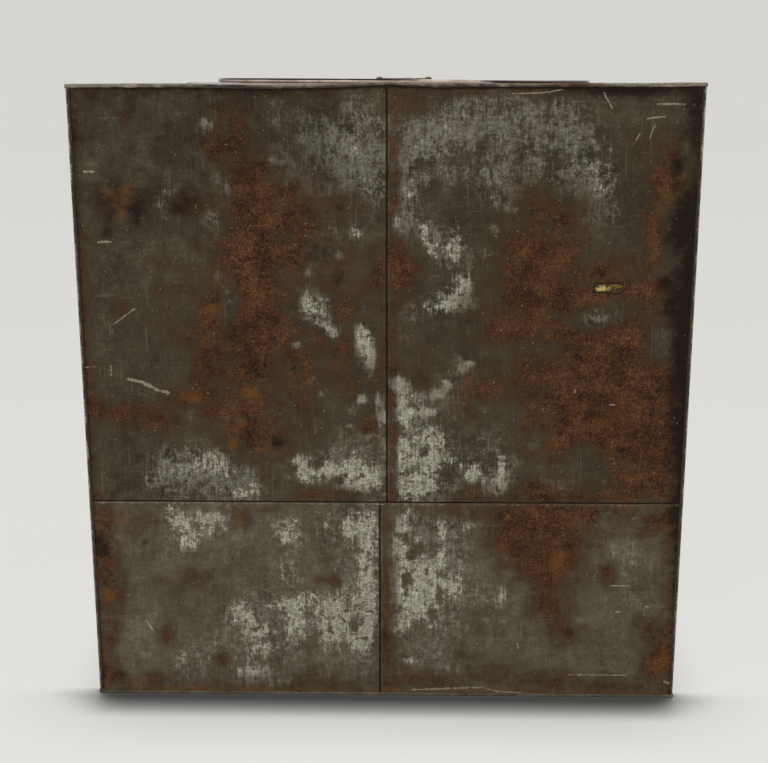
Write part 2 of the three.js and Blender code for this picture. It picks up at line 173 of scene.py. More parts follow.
def top_field(x, y):
    """How far the top and the lid are bent up at a place: the edges stand proud, and the rest leans to the right."""
    near = np.minimum(HALF - np.abs(x), HALF - np.abs(y))
    edge = fall(near, 3, 26)
    back = hill(y, -HALF, 40)
    wave = 1.4 * hill(x, 2, 26) - 0.9 * hill(x, -104, 40) + 0.4 * hill(x, 100, 50) + 0.3 * hill(x, 235, 18)
    proud = 1.7 + back * wave + 0.25 * ripple(x, y, 5, 80)
    lean = -0.0075 * (x + 120) - 1.2 * hill(x, 112, 42) * hill(y, -HALF, 180)
    rise = 1.4 * hill(x, NECK_X - SEAT_RADIUS, 14)
    return edge * proud + (1 - edge) * (lean + rise)


def wall_wave(u, w, seed):
    """Inward dents and faint bulges of a wall, fading towards its edges and seams."""
    edge = smooth(HALF - np.abs(u), 2, 45) * smooth(w, 3, 45) * smooth(HEIGHT - w, 4, 45)
    seam = 0.35 + 0.65 * smooth(np.abs(w - SEAM_LEVEL), 3, 30)
    wave = 0.25 + 0.55 * ripple(u, w, seed, 150) + 0.22 * ripple(u, w, seed + 1, 55)
    return edge * seam * np.clip(wave, -0.6, 1.5)


# Bent sheet sections

def run(length):
    return (length, None)


def bend(degrees, inside):
    return (degrees, inside)


def bent(x, y, moves, heading=0.0):
    """The left and the right face of a bent sheet, from a point on its middle line."""
    left, right = [], []
    angle = math.radians(heading)

    def mark():
        across = np.array([-math.sin(angle), math.cos(angle)]) * SHEET / 2
        left.append(np.array([x, y]) + across)
        right.append(np.array([x, y]) - across)

    mark()
    for amount, inside in moves:
        if inside is None:
            x += math.cos(angle) * amount
            y += math.sin(angle) * amount
            mark()
            continue
        radius = math.copysign(inside + SHEET / 2, amount)
        centre = (x - math.sin(angle) * radius, y + math.cos(angle) * radius)
        steps = max(2, round(abs(amount) / TURN_STEP))
        for _ in range(steps):
            angle += math.radians(amount) / steps
            x, y = centre[0] + math.sin(angle) * radius, centre[1] - math.cos(angle) * radius
            mark()
    return np.array(left), np.array(right)


def edge_section(kind, reach):
    """A worked edge as distance outwards from its line and distance inwards from the sheet's outer face."""
    if kind == "cover":
        return bent(-FOLD_OUTSIDE, SHEET / 2, [bend(180, FOLD_INSIDE), run(HOOK)])
    if kind == "tuck":
        step = 3 * LAYER - 2 * BEND - SHEET
        under = SEAM_WIDTH - FOLD_OUTSIDE - BEND + GAP
        moves = [bend(90, BEND), run(step), bend(-90, BEND), run(under), bend(-180, FOLD_INSIDE), run(HOOK)]
        return bent(-JOG, SHEET / 2, moves)
    return bent(-FOLD, SHEET / 2, [bend(90, BEND), run(reach - FOLD)])


# How far inside a worked edge's line the flat sheet ends, and how far inside it an unworked stretch does
FLAT = {"cover": FOLD_OUTSIDE, "tuck": JOG, "bend": FOLD, "cut": 0.0}
PLAIN = {"cover": 0.0, "tuck": GAP, "bend": 0.0, "cut": 0.0}


# Which of the two sheets at a level and at an upright seam covers the other
AT_LEVEL = {"lower": "cover", "upper": "tuck"}
AT_UPRIGHT = {"left": "tuck", "right": "cover"}


class Edge:
    """One edge of a sheet: its kind, its line, the stretches that are worked and how far a bend reaches."""

    def __init__(self, kind, at, stretches=(), reach=0.0, plain=None):
        self.kind, self.at, self.stretches, self.reach = kind, at, list(stretches), reach
        self.flat = FLAT[kind]
        self.plain = PLAIN[kind] if plain is None else plain

    def worked(self, along):
        inside = np.zeros(along.shape, bool)
        for start, end in self.stretches:
            inside |= (along > start) & (along < end)
        return inside


def spaced(marks, spacing):
    """Lines at every mark and evenly between them, no further apart than the spacing."""
    marks = np.unique(np.round(marks, 6))
    lines = [marks[0]]
    for a, b in zip(marks, marks[1:]):
        count = max(1, math.ceil((b - a) / spacing - TINY))
        lines.extend(a + (b - a) * np.arange(1, count + 1) / count)
    return np.array(lines)


def corners_of(cells):
    """The points of a grid that are corners of the chosen cells."""
    across, up = cells.shape
    points = np.zeros((across + 1, up + 1), bool)
    for i, j in ((0, 0), (0, 1), (1, 0), (1, 1)):
        points[i:across + i, j:up + j] |= cells
    return points


def joined(*corners):
    """Faces from the places of their four corners."""
    return np.stack(corners, -2).reshape(-1, 4, 3)


def fold_quads(edge, outward, upright, along):
    """The faces of a worked edge's folds: their two sides, their tip and their ends."""
    inner, outer = edge_section(edge.kind, edge.reach)

    def point(row, s, t):
        across = edge.at + outward * row[s][..., 0]
        place = (across, row[s][..., 1], t) if upright else (t, row[s][..., 1], across)
        return np.stack(np.broadcast_arrays(*place), -1)

    quads = []
    last = len(inner) - 1
    s = np.arange(last)
    for start, end in edge.stretches:
        stations = along[(along > start - TOUCH) & (along < end + TOUCH)]
        a, b = stations[:-1], stations[1:]
        for row in (inner, outer):
            quads.append(joined(*(point(row, (s + k)[:, None], t[None]) for k, t in ((0, a), (1, a), (1, b), (0, b)))))
        tip = np.full(len(a), last)
        quads.append(joined(point(inner, tip, a), point(outer, tip, a), point(outer, tip, b), point(inner, tip, b)))
        for end_at in (stations[0], stations[-1]):
            t = np.full(last, end_at)
            quads.append(joined(point(inner, s, t), point(inner, s + 1, t), point(outer, s + 1, t), point(outer, s, t)))
    return quads


def sheet_quads(west, east, south, north, spacing, hole=None):
    """Every face of a worked sheet as four corners (across, inwards, up) in its panel's frame."""
    u_marks = [west.at + west.plain, east.at - east.plain]
    w_marks = [south.at + south.plain, north.at - north.plain]
    upright_edges, level_edges = ((west, 1), (east, -1)), ((south, 1), (north, -1))
    for edges, own, other in ((upright_edges, u_marks, w_marks), (level_edges, w_marks, u_marks)):
        for edge, inward in edges:
            if edge.stretches:
                own.extend(edge.at + inward * (edge.flat + away) for away in EDGE_LINES)
                other.extend(end for stretch in edge.stretches for end in stretch)
    us, ws = spaced(u_marks, spacing), spaced(w_marks, spacing)
    mid_u, mid_w = (us[1:] + us[:-1]) / 2, (ws[1:] + ws[:-1]) / 2
    grid_u, grid_w = np.meshgrid(us, ws, indexing="ij")
    cell_u, cell_w = np.meshgrid(mid_u, mid_w, indexing="ij")

    here = np.ones(cell_u.shape, bool)
    for edges, across, along in ((upright_edges, cell_u, cell_w), (level_edges, cell_w, cell_u)):
        for edge, inward in edges:
            past = (edge.at + inward * edge.flat - across) * inward > 0
            here &= ~(past & edge.worked(along))
    if hole:
        (hole_u, hole_w), radius = hole
        gone = np.hypot(cell_u - hole_u, cell_w - hole_w) < radius
        here &= ~gone
        away = np.hypot(grid_u - hole_u, grid_w - hole_w)
        pull = np.where(corners_of(gone) & corners_of(here), radius / np.maximum(away, TINY), 1.0)
        grid_u = hole_u + (grid_u - hole_u) * pull
        grid_w = hole_w + (grid_w - hole_w) * pull

    def corner(i, j, depth):
        return np.stack([grid_u[i, j], np.full(np.shape(grid_u[i, j]), depth), grid_w[i, j]], -1)

    quads = []
    i, j = np.nonzero(here)
    for depth in (0.0, SHEET):
        quads.append(joined(*(corner(a, b, depth) for a, b in ((i, j), (i + 1, j), (i + 1, j + 1), (i, j + 1)))))

    # Side faces, left out where a fold goes on from the plate
    padded = np.pad(here, 1)
    for axis, edges, lines, middles in ((0, upright_edges, us, mid_w), (1, level_edges, ws, mid_u)):
        step = (padded[1:, 1:-1] != padded[:-1, 1:-1]) if axis == 0 else (padded[1:-1, 1:] != padded[1:-1, :-1])
        i, j = np.nonzero(step)
        line, middle = (lines[i], middles[j]) if axis == 0 else (lines[j], middles[i])
        keep = np.ones(len(i), bool)
        for edge, inward in edges:
            keep &= ~((np.abs(line - edge.at - inward * edge.flat) < TOUCH) & edge.worked(middle))
        i, j = i[keep], j[keep]
        k, m = (i, j + 1) if axis == 0 else (i + 1, j)
        quads.append(joined(corner(i, j, 0.0), corner(k, m, 0.0), corner(k, m, SHEET), corner(i, j, SHEET)))

    for edge, outward, upright in ((west, -1, True), (east, 1, True), (south, -1, False), (north, 1, False)):
        if edge.stretches:
            quads.extend(fold_quads(edge, outward, upright, ws if upright else us))
    return np.concatenate(quads)


def welded(quads):
    """Points and faces from loose quads whose equal corners become one point."""
    flat = quads.reshape(-1, 3)
    keys = np.round(flat * WELD_STEPS).astype(np.int64)
    _, first, back = np.unique(keys, axis=0, return_index=True, return_inverse=True)
    return flat[first], back.reshape(-1, 4)


def build(name, points, faces, body, materials, node, marks=None, inside=None):
    """A closed piece in the place of a CAD node. marks are named values at its points, inside tells its inner faces."""
    mesh = bpy.data.meshes.new(name)
    mesh.from_pydata((points * MM).tolist(), [], [list(face) for face in faces])
    work = bmesh.new()
    work.from_mesh(mesh)
    bmesh.ops.recalc_face_normals(work, faces=work.faces)
    work.to_mesh(mesh)
    work.free()
    for key, values in (marks or {}).items():
        mesh.attributes.new(key, "FLOAT", "POINT").data.foreach_set("value", values.astype(np.float32))
    for material in materials:
        mesh.materials.append(material)
    if inside is not None:
        mesh.polygons.foreach_set("material_index", inside.astype(np.int32))
    mesh.shade_smooth()
    mesh.set_sharp_from_angle(angle=math.radians(SHARP_ANGLE))
    piece = bpy.data.objects.new(name, mesh)
    bpy.context.scene.collection.objects.link(piece)
    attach(piece, body)
    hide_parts(node)


# Where the back wall is rusty, bright, dark or orange, read off the photograph.
# Each spot is x and z of its middle, its half width, half height and strength. The x values count from a line that
# lies a little to the right of the wall's middle.
READ_SHIFT = 1.9

RUST = [
    (-106, 430, 17, 26, 0.95), (-104, 385, 25, 30, 0.85), (-110, 325, 26, 28, 0.95), (-143, 335, 10, 28, 0.7),
    (-125, 482, 20, 30, 0.6), (-137, 469, 12, 7, 0.7), (-70, 408, 28, 40, 0.48), (-110, 380, 38, 80, 0.5),
    (-120, 260, 40, 40, 0.42), (-163, 423, 13, 10, 0.65), (-212, 425, 20, 17, 0.6), (-180, 378, 12, 6, 0.5),
    (-175, 357, 22, 12, 0.4), (-217, 343, 6, 8, 0.45), (-160, 318, 12, 7, 0.7), (-148, 285, 9, 26, 0.8),
    (-165, 266, 20, 8, 0.75), (-215, 255, 36, 9, 0.8), (-192, 244, 20, 9, 0.75), (-116, 285, 22, 18, 0.65),
    (-114, 238, 24, 18, 0.7), (-92, 228, 8, 8, 0.6), (-75, 285, 20, 25, 0.45), (-38, 290, 20, 28, 0.6),
    (-40, 312, 12, 10, 0.5), (-35, 342, 10, 16, 0.6), (-38, 375, 14, 14, 0.4), (-35, 427, 16, 8, 0.55),
    (-68, 240, 14, 20, 0.4), (-15, 244, 11, 9, 0.85), (-8, 370, 7, 25, 0.6), (-5, 300, 6, 45, 0.5),
    (-55, 184, 34, 7, 0.6), (-95, 200, 9, 16, 0.45), (-244, 252, 9, 14, 0.7), (-245, 330, 6, 70, 0.55),
    (-244, 480, 6, 16, 0.5), (-206, 491, 4, 4, 0.7), (14, 373, 14, 17, 1.0), (12, 503, 22, 9, 0.55),
    (5, 440, 5, 60, 0.55), (6, 330, 8, 40, 0.5), (30, 285, 18, 22, 0.45), (76, 274, 20, 16, 0.7),
    (62, 250, 14, 12, 0.4), (72, 185, 20, 8, 0.55), (122, 378, 28, 26, 0.9), (126, 345, 30, 20, 0.75),
    (120, 322, 26, 10, 0.5), (130, 418, 30, 16, 0.5), (178, 374, 18, 10, 0.75), (158, 354, 22, 6, 0.8),
    (205, 356, 26, 9, 0.75), (212, 400, 9, 40, 0.65), (222, 445, 14, 28, 0.65), (185, 275, 60, 75, 0.55),
    (120, 380, 36, 60, 0.45), (195, 318, 38, 24, 0.8), (190, 280, 42, 34, 0.95), (188, 240, 40, 34, 0.95),
    (225, 240, 18, 45, 0.8), (215, 195, 30, 18, 0.65), (150, 260, 20, 40, 0.65), (117, 255, 14, 30, 0.65),
    (135, 225, 18, 14, 0.55), (125, 188, 16, 9, 0.65), (160, 183, 26, 8, 0.5), (117, 285, 14, 12, 0.45),
    (-241, 140, 11, 34, 0.8), (-238, 96, 11, 14, 0.8), (-240, 55, 9, 30, 0.65), (-238, 14, 12, 12, 0.65),
    (-212, 158, 20, 14, 0.45), (-125, 160, 9, 11, 0.5), (-163, 107, 11, 9, 0.6), (-190, 56, 9, 11, 0.65),
    (-60, 106, 8, 5, 0.65), (-44, 106, 7, 6, 0.65), (-205, 12, 24, 7, 0.55), (-150, 8, 30, 6, 0.5),
    (-70, 8, 46, 6, 0.5), (-143, 33, 6, 5, 0.8), (-190, 100, 14, 12, 0.3), (130, 152, 34, 24, 0.9),
    (150, 140, 16, 14, 0.95), (160, 168, 44, 9, 0.7), (135, 112, 18, 24, 0.75), (136, 84, 9, 16, 0.6),
    (150, 60, 11, 12, 0.5), (187, 113, 8, 8, 0.75), (105, 135, 12, 20, 0.5), (238, 158, 12, 16, 0.8),
    (243, 100, 8, 60, 0.65), (236, 30, 15, 28, 0.85), (222, 66, 12, 14, 0.5), (130, 14, 24, 10, 0.6),
    (100, 20, 14, 8, 0.45), (200, 10, 26, 7, 0.4), (160, 12, 20, 8, 0.5), (30, 14, 30, 8, 0.45),
    (65, 40, 10, 10, 0.35), (85, 165, 30, 8, 0.35), (4, 90, 5, 80, 0.45), (112, 150, 26, 26, 0.4),
    (140, 120, 34, 24, 0.4), (150, 72, 22, 22, 0.34), (60, 170, 50, 7, 0.36), (-120, 170, 40, 6, 0.3),
    (215, 160, 22, 12, 0.36), (60, 20, 50, 14, 0.26), (-60, 20, 60, 12, 0.26), (-75, 430, 30, 20, 0.34),
    (-60, 330, 36, 26, 0.26), (-190, 330, 20, 24, 0.24), (95, 330, 30, 30, 0.28), (60, 320, 26, 20, 0.24),
    (150, 300, 40, 20, 0.36), (200, 470, 20, 20, 0.28), (-30, 350, 16, 36, 0.28),
]
RUST_GAPS = [
    (165, 212, 15, 16, 0.9), (222, 318, 10, 16, 0.9), (122, 232, 7, 6, 0.9), (126, 308, 20, 6, 0.5),
    (-127, 345, 4, 14, 0.9), (-130, 297, 10, 4, 0.6), (60, 235, 24, 14, 0.8), (168, 334, 20, 8, 0.9),
    (-60, 342, 14, 11, 0.85), (-47, 326, 8, 8, 0.75), (-18, 312, 9, 16, 0.8),
]
PALE = [
    (-40, 472, 34, 30, 0.8), (-15, 470, 14, 34, 0.8), (-70, 455, 22, 24, 0.6), (-88, 488, 8, 20, 0.4),
    (-45, 436, 30, 8, 0.45), (-148, 478, 8, 24, 0.5), (-130, 440, 7, 14, 0.55), (-190, 432, 20, 5, 0.35),
    (-172, 440, 10, 6, 0.4), (-145, 415, 9, 10, 0.5), (-138, 385, 9, 26, 0.5), (-130, 350, 6, 12, 0.5),
    (76, 500, 4, 16, 0.6), (-42, 400, 24, 9, 0.35), (-62, 360, 12, 22, 0.35), (-56, 342, 22, 14, 0.45),
    (-18, 312, 12, 26, 0.55), (-75, 255, 24, 20, 0.25), (-20, 250, 16, 20, 0.45), (-165, 208, 34, 20, 0.62),
    (-140, 195, 34, 16, 0.62), (-190, 190, 16, 12, 0.4), (-42, 202, 38, 20, 0.68), (-120, 188, 12, 10, 0.6),
    (30, 470, 26, 34, 0.85), (68, 478, 30, 26, 0.8), (112, 480, 34, 24, 0.58), (150, 472, 20, 26, 0.5),
    (165, 430, 18, 30, 0.6), (90, 445, 26, 12, 0.5), (13, 420, 8, 26, 0.45), (95, 428, 16, 9, 0.4),
    (40, 400, 16, 12, 0.45), (56, 385, 14, 18, 0.45), (60, 360, 14, 16, 0.45), (44, 344, 26, 10, 0.5),
    (25, 225, 30, 48, 0.75), (45, 265, 22, 14, 0.55), (62, 290, 14, 12, 0.55), (92, 205, 20, 22, 0.5),
    (138, 193, 22, 9, 0.45), (170, 333, 18, 9, 0.62), (80, 232, 8, 8, 0.5), (12, 325, 10, 16, 0.4),
    (-162, 155, 30, 13, 0.7), (-176, 140, 14, 12, 0.6), (-86, 152, 18, 14, 0.65), (-84, 118, 7, 26, 0.5),
    (-50, 155, 16, 12, 0.4), (-24, 112, 14, 60, 0.9), (-80, 70, 36, 30, 0.65), (-48, 62, 26, 34, 0.7),
    (-120, 72, 26, 18, 0.65), (-120, 28, 34, 26, 0.65), (-165, 28, 26, 22, 0.45), (-70, 24, 34, 16, 0.45),
    (-25, 30, 18, 20, 0.45), (-206, 60, 6, 8, 0.4), (28, 108, 28, 56, 0.9), (62, 112, 18, 46, 0.45),
    (62, 155, 20, 9, 0.5), (96, 86, 24, 18, 0.5), (40, 34, 34, 18, 0.5), (200, 140, 22, 24, 0.42),
    (210, 95, 24, 20, 0.35), (215, 165, 8, 6, 0.6),
]
BRIGHT = [
    (-30, 468, 20, 22, 0.3), (-90, 459, 13, 6, 0.6), (-127, 437, 5, 9, 0.55), (-143, 487, 7, 6, 0.6),
    (-181, 425, 7, 5, 0.5), (-171, 435, 7, 4, 0.45), (-142, 417, 6, 5, 0.5), (-118, 398, 5, 4, 0.5),
    (-144, 388, 3, 9, 0.55), (-137, 366, 4, 6, 0.55), (-45, 404, 5, 4, 0.45), (-25, 403, 5, 4, 0.5),
    (-38, 385, 6, 4, 0.5), (-65, 372, 6, 5, 0.5), (-160, 433, 14, 4, 0.35), (38, 470, 26, 20, 0.38),
    (16, 432, 8, 10, 0.4), (8, 412, 3, 8, 0.6), (62, 490, 16, 8, 0.3), (170, 440, 10, 14, 0.45),
    (158, 412, 8, 8, 0.4), (160, 455, 12, 6, 0.4), (89, 428, 10, 5, 0.55), (100, 421, 7, 3, 0.5),
    (84, 405, 6, 5, 0.5), (31, 403, 4, 9, 0.65), (38, 390, 4, 7, 0.6), (55, 391, 8, 9, 0.65), (60, 364, 8, 9, 0.6),
    (56, 352, 16, 5, 0.55), (78, 385, 5, 6, 0.4), (-60, 342, 14, 10, 0.6), (-66, 347, 6, 6, 0.6),
    (-50, 330, 6, 6, 0.6), (-44, 322, 4, 4, 0.6), (-21, 316, 6, 12, 0.95), (-14, 298, 5, 11, 0.9),
    (-7, 262, 4, 9, 0.75), (-5, 248, 3, 10, 0.9), (-21, 266, 5, 4, 0.75), (-13, 235, 9, 3, 0.8),
    (-31, 243, 5, 3, 0.7), (-74, 311, 3, 2, 0.9), (-72, 213, 6, 5, 0.8), (-70, 201, 8, 8, 0.75),
    (-48, 205, 14, 8, 0.8), (-26, 205, 8, 14, 0.85), (-32, 193, 14, 5, 0.9), (-12, 198, 5, 10, 0.75),
    (-168, 208, 26, 12, 0.42), (-146, 214, 12, 8, 0.5), (-130, 200, 16, 10, 0.4), (-122, 184, 8, 5, 0.65),
    (-108, 187, 6, 5, 0.6), (-200, 198, 8, 6, 0.35), (-130, 288, 5, 4, 0.5), (-57, 242, 4, 8, 0.5),
    (-60, 283, 3, 3, 0.6), (-54, 270, 3, 3, 0.6), (45, 343, 18, 5, 0.7), (57, 348, 7, 5, 0.7), (9, 278, 7, 8, 0.85),
    (13, 258, 9, 16, 0.85), (38, 232, 10, 14, 0.9), (14, 226, 8, 10, 0.75), (30, 212, 16, 10, 0.85),
    (22, 192, 20, 12, 0.85), (32, 254, 10, 4, 0.75), (30, 268, 6, 5, 0.7), (42, 270, 6, 4, 0.75),
    (50, 278, 4, 6, 0.75), (58, 290, 6, 4, 0.8), (67, 296, 5, 3, 0.75), (72, 204, 6, 9, 0.8), (88, 190, 12, 8, 0.8),
    (95, 210, 5, 12, 0.6), (78, 232, 3, 4, 0.6), (132, 196, 12, 4, 0.55), (145, 188, 8, 5, 0.5), (7, 316, 4, 6, 0.5),
    (172, 335, 10, 5, 0.5), (222, 194, 5, 3, 0.7), (56, 212, 8, 4, 0.5), (-178, 158, 8, 8, 0.75),
    (-152, 162, 18, 5, 0.75), (-150, 150, 20, 4, 0.5), (-168, 142, 10, 9, 0.75), (-183, 171, 6, 3, 0.6),
    (-131, 171, 8, 3, 0.65), (-86, 157, 12, 6, 0.7), (-82, 145, 8, 7, 0.6), (-88, 120, 3, 26, 0.45),
    (-50, 156, 5, 5, 0.6), (-33, 150, 6, 14, 0.8), (-18, 150, 8, 20, 0.9), (-17, 100, 8, 34, 0.95),
    (-32, 88, 6, 24, 0.7), (-22, 55, 10, 14, 0.8), (-48, 62, 12, 20, 0.8), (-45, 84, 10, 10, 0.75),
    (-78, 66, 14, 18, 0.65), (-88, 84, 14, 5, 0.6), (-125, 74, 10, 14, 0.8), (-112, 60, 14, 8, 0.65),
    (-110, 44, 16, 6, 0.6), (-118, 20, 18, 12, 0.7), (-150, 34, 10, 8, 0.4), (-180, 32, 8, 12, 0.45),
    (-88, 12, 14, 6, 0.5), (-55, 14, 8, 10, 0.5), (-68, 92, 9, 6, 0.7), (12, 150, 6, 14, 0.85), (8, 100, 6, 30, 0.7),
    (22, 125, 12, 18, 0.9), (32, 108, 14, 14, 0.95), (26, 84, 12, 12, 0.9), (12, 66, 8, 8, 0.75),
    (38, 72, 8, 10, 0.7), (45, 154, 6, 8, 0.75), (44, 128, 6, 10, 0.7), (50, 96, 10, 14, 0.7), (70, 157, 10, 4, 0.7),
    (62, 120, 4, 20, 0.5), (20, 166, 8, 5, 0.6), (94, 88, 14, 8, 0.45), (100, 98, 8, 6, 0.4), (56, 24, 10, 5, 0.5),
    (20, 34, 10, 6, 0.45), (215, 158, 7, 4, 0.5), (131, 148, 4, 4, 0.5), (60, 60, 8, 8, 0.4),
]
BRIGHT_GAPS = [
    (38, 247, 7, 4, 1.0), (17, 143, 5, 4, 1.0), (21, 130, 5, 4, 1.0), (28, 136, 6, 4, 1.0), (16, 109, 4, 5, 0.9),
    (38, 142, 4, 16, 0.9), (38, 76, 5, 6, 1.0), (29, 64, 8, 4, 1.0), (45, 92, 3, 7, 0.8), (-37, 130, 2, 8, 0.9),
    (-27, 140, 2, 8, 0.9), (-28, 108, 3, 14, 0.8), (-28, 66, 3, 7, 0.8), (-33, 85, 2, 6, 0.8), (77, 470, 8, 7, 1.0),
    (30, 455, 6, 5, 1.0), (62, 462, 9, 5, 0.9), (50, 458, 4, 4, 1.0), (58, 436, 18, 9, 0.8), (112, 480, 9, 9, 0.6),
    (-19, 245, 7, 7, 1.0), (-42, 196, 6, 4, 0.9), (-58, 208, 4, 4, 0.8), (22, 206, 4, 4, 0.9), (10, 240, 3, 6, 0.9),
    (30, 222, 5, 3, 0.9), (50, 206, 6, 6, 1.0), (-98, 66, 4, 5, 0.8), (-62, 56, 3, 8, 0.8), (-96, 30, 10, 5, 0.8),
    (-62, 34, 12, 6, 0.7), (-142, 34, 8, 6, 1.0),
]
OCHRE = [
    (-206, 436, 7, 9, 0.9), (-212, 422, 6, 12, 0.9), (-222, 434, 6, 5, 0.8), (-142, 340, 8, 6, 0.9),
    (-160, 266, 12, 5, 0.9), (-113, 270, 9, 6, 0.9), (-128, 228, 8, 6, 0.9), (-120, 246, 6, 5, 0.7),
    (-106, 440, 12, 14, 0.5), (-240, 92, 9, 9, 0.8), (-226, 160, 8, 12, 0.8), (-215, 10, 10, 6, 0.8),
    (225, 430, 12, 14, 0.6), (212, 395, 5, 26, 0.8), (239, 32, 9, 20, 0.7), (145, 125, 12, 18, 0.8),
    (190, 250, 34, 36, 0.6), (150, 162, 14, 8, 0.7), (-125, 160, 6, 7, 0.7), (232, 446, 4, 4, 1.0),
    (-212, 253, 20, 6, 0.4), (110, 250, 8, 14, 0.4),
]
# Dark spots. The long one close under the lip on the right is painted shade.
GRIME = [
    (246, 330, 12, 120, 1.0), (246, 320, 14, 90, 0.9), (246, 205, 8, 45, 0.9), (195, 512, 60, 5, 0.9),
    (240, 492, 10, 20, 0.8), (234, 408, 12, 20, 0.9), (228, 455, 5, 10, 0.8), (222, 362, 7, 6, 0.9),
    (229, 345, 6, 8, 0.8), (-247, 137, 8, 10, 0.9), (-92, 228, 5, 5, 0.9), (-163, 423, 8, 7, 0.6),
    (-199, 420, 6, 10, 0.6), (-224, 404, 4, 5, 0.8), (-156, 478, 5, 30, 0.35), (-54, 386, 10, 7, 0.6),
    (-38, 366, 6, 6, 0.5), (152, 140, 7, 6, 0.6), (246, 118, 6, 57, 0.7), (240, 166, 10, 10, 0.7),
    (-205, 141, 3, 3, 0.8), (-205, 425, 26, 20, 0.3), (115, 372, 12, 8, 0.5), (168, 254, 4, 3, 0.8),
    (-130, 322, 16, 14, 0.4), (15, 372, 13, 15, 0.4), (-150, 280, 12, 26, 0.34), (-192, 250, 28, 9, 0.28),
    (-110, 325, 20, 22, 0.3), (-108, 300, 30, 16, 0.22), (-242, 138, 8, 14, 0.5), (118, 350, 20, 10, 0.4),
    (77, 468, 8, 5, 0.4), (58, 436, 16, 8, 0.3),
]
# Scratches and scuffs as points along them and their width
SCRATCHES = [
    ([(-214, 282), (-204, 280), (-196, 276.5), (-188, 272), (-181, 271)], 3.4),
    ([(-240, 451), (-231, 451)], 1.8), ([(-232, 395), (-222, 395.5)], 2.1), ([(-227, 285), (-227, 293)], 1.9),
    ([(-248, 292), (-240, 292.5)], 1.4), ([(-224, 327), (-205, 341)], 1.2), ([(-208, 68), (-202, 58)], 1.8),
    ([(168, 512), (175, 500)], 1.2), ([(98, 511), (120, 511.5), (136, 514)], 1.3),
    ([(210, 503), (231, 503)], 1.8), ([(203, 492), (216, 493.5)], 1.3), ([(192, 471), (197, 480)], 1.9),
    ([(205, 476), (209, 488)], 1.1), ([(157, 20.5), (207, 20.5)], 1.2), ([(190, 103), (207, 103)], 1.3),
    ([(113, 45), (112, 49)], 1.8), ([(183, 262), (187, 262)], 1.4), ([(154, 272), (154, 275)], 1.1),
    ([(22, 5), (60, 7), (84, 8), (95, 4), (114, 3), (130, 1)], 1.8), ([(196, 79), (200, 79)], 1.8),
    ([(221, 84), (224, 84)], 1.8), ([(240, 14), (246, 13)], 2.4),
]
CHIP = ([(170, 358), (179, 359), (187, 358.5)], 6.5)


def spots(u, w, listed, spread=0.85):
    """Soft ellipses that run into each other. The shader's noise breaks up their edges."""
    bare = np.ones_like(u)
    for middle_u, middle_w, half_u, half_w, strength in listed:
        away = ((u - middle_u) / (half_u + 1)) ** 2 + ((w - middle_w) / (half_w + 1)) ** 2
        bare *= 1 - strength * np.exp(-spread * away)
    return 1 - bare


def seam_distance(u, w):
    """How far a place on a wall is from the nearest edge or seam."""
    upright = np.where(w > SEAM_LEVEL, UPPER_SEAM, LOWER_SEAM)
    near = np.minimum(HALF - np.abs(u), np.abs(u - upright))
    return np.minimum(near, np.minimum(np.abs(w - SEAM_LEVEL), np.minimum(w, HEIGHT - w)))


def band(value, start, end, soft):
    """1 between start and end, and 0 outside, with soft edges."""
    return smooth(value, start - soft, start + soft) * fall(value, end - soft, end + soft)


def back_marks(u, w, depth):
    """Marks of the plain back: the spots above, and what edges, seams, lip and foot bring."""
    upright = np.where(w > SEAM_LEVEL, UPPER_SEAM, LOWER_SEAM)
    past_seam = u - upright
    # Painted shade in the seams: the folds set back from the wall's face and a narrow line along each seam's groove are
    # darkened with the grime
    sink = smooth(depth, 0.15, 0.6)
    level_line = band(w, SEAM_LEVEL, SEAM_LEVEL + 1.3, 0.3)
    upright_line = band(past_seam, -1.3, 0.1, 0.3)
    side = np.minimum(u + HALF, HALF - u)
    edge = np.minimum(side, HEIGHT + 2 - w)
    read = u - READ_SHIFT
    gaps = spots(read, w, BRIGHT_GAPS, 1.2)

    # Rust also creeps in from the edges and stands along the foot
    rust = spots(read, w, RUST) * (1 - spots(read, w, RUST_GAPS))
    rust = np.maximum(rust, 0.6 * fall(edge, 4, 17))
    foot = fall(w, 4, 12)
    rust = np.maximum(rust, (0.2 + 0.2 * ripple(u, w, 17, 30)) * foot)

    # Grime also gathers at the side edges, and a band of painted shade is added under the lip
    grime_and_shade = spots(read, w, GRIME)
    under_lip = HEIGHT - 3 - w
    grime_and_shade = np.maximum(grime_and_shade, 0.5 * fall(side, 2, 12))
    lip_shade = 0.7 * fall(under_lip, 0.6, 3) + 0.22 * fall(under_lip, 3, 14)
    grime_and_shade = np.maximum(grime_and_shade, lip_shade * (0.45 + 0.55 * smooth(u, -225, -185)))
    # The upper sheets are darker towards the top, the upper left most of all
    dull = 0.34 * smooth(w, 330, 470) * fall(u, -60, 0)
    dull = dull + 0.1 * smooth(w, SEAM_LEVEL - 2, SEAM_LEVEL + 60)
    grime_and_shade = 1 - (1 - np.clip(grime_and_shade, 0, 1)) * (1 - dull)

    # A painted highlight beside each seam
    pale = 0.45 * band(w, SEAM_LEVEL - 1.9, SEAM_LEVEL - 0.6, 0.35) + 0.3 * band(past_seam, -3.0, -1.9, 0.3)
    return {
        "rust": np.maximum(rust, 0.6 * band(past_seam, 0.5, 8, 2.5)),
        "bright": spots(read, w, BRIGHT) * (1 - gaps),
        "haze": spots(read, w, PALE) * (1 - 0.7 * gaps),
        "ochre": np.maximum(spots(read, w, OCHRE), 0.75 * foot),
        "grime_and_shade": np.maximum(grime_and_shade, 1.3 * np.maximum(sink, np.maximum(level_line, upright_line))),
        "seam_highlight": pale,
        "lower": np.clip(0.06 + 0.62 * (w < SEAM_LEVEL) + 0.12 * ripple(u, w, 9, 120) - (w - 250) / 1300, 0, 1),
    }


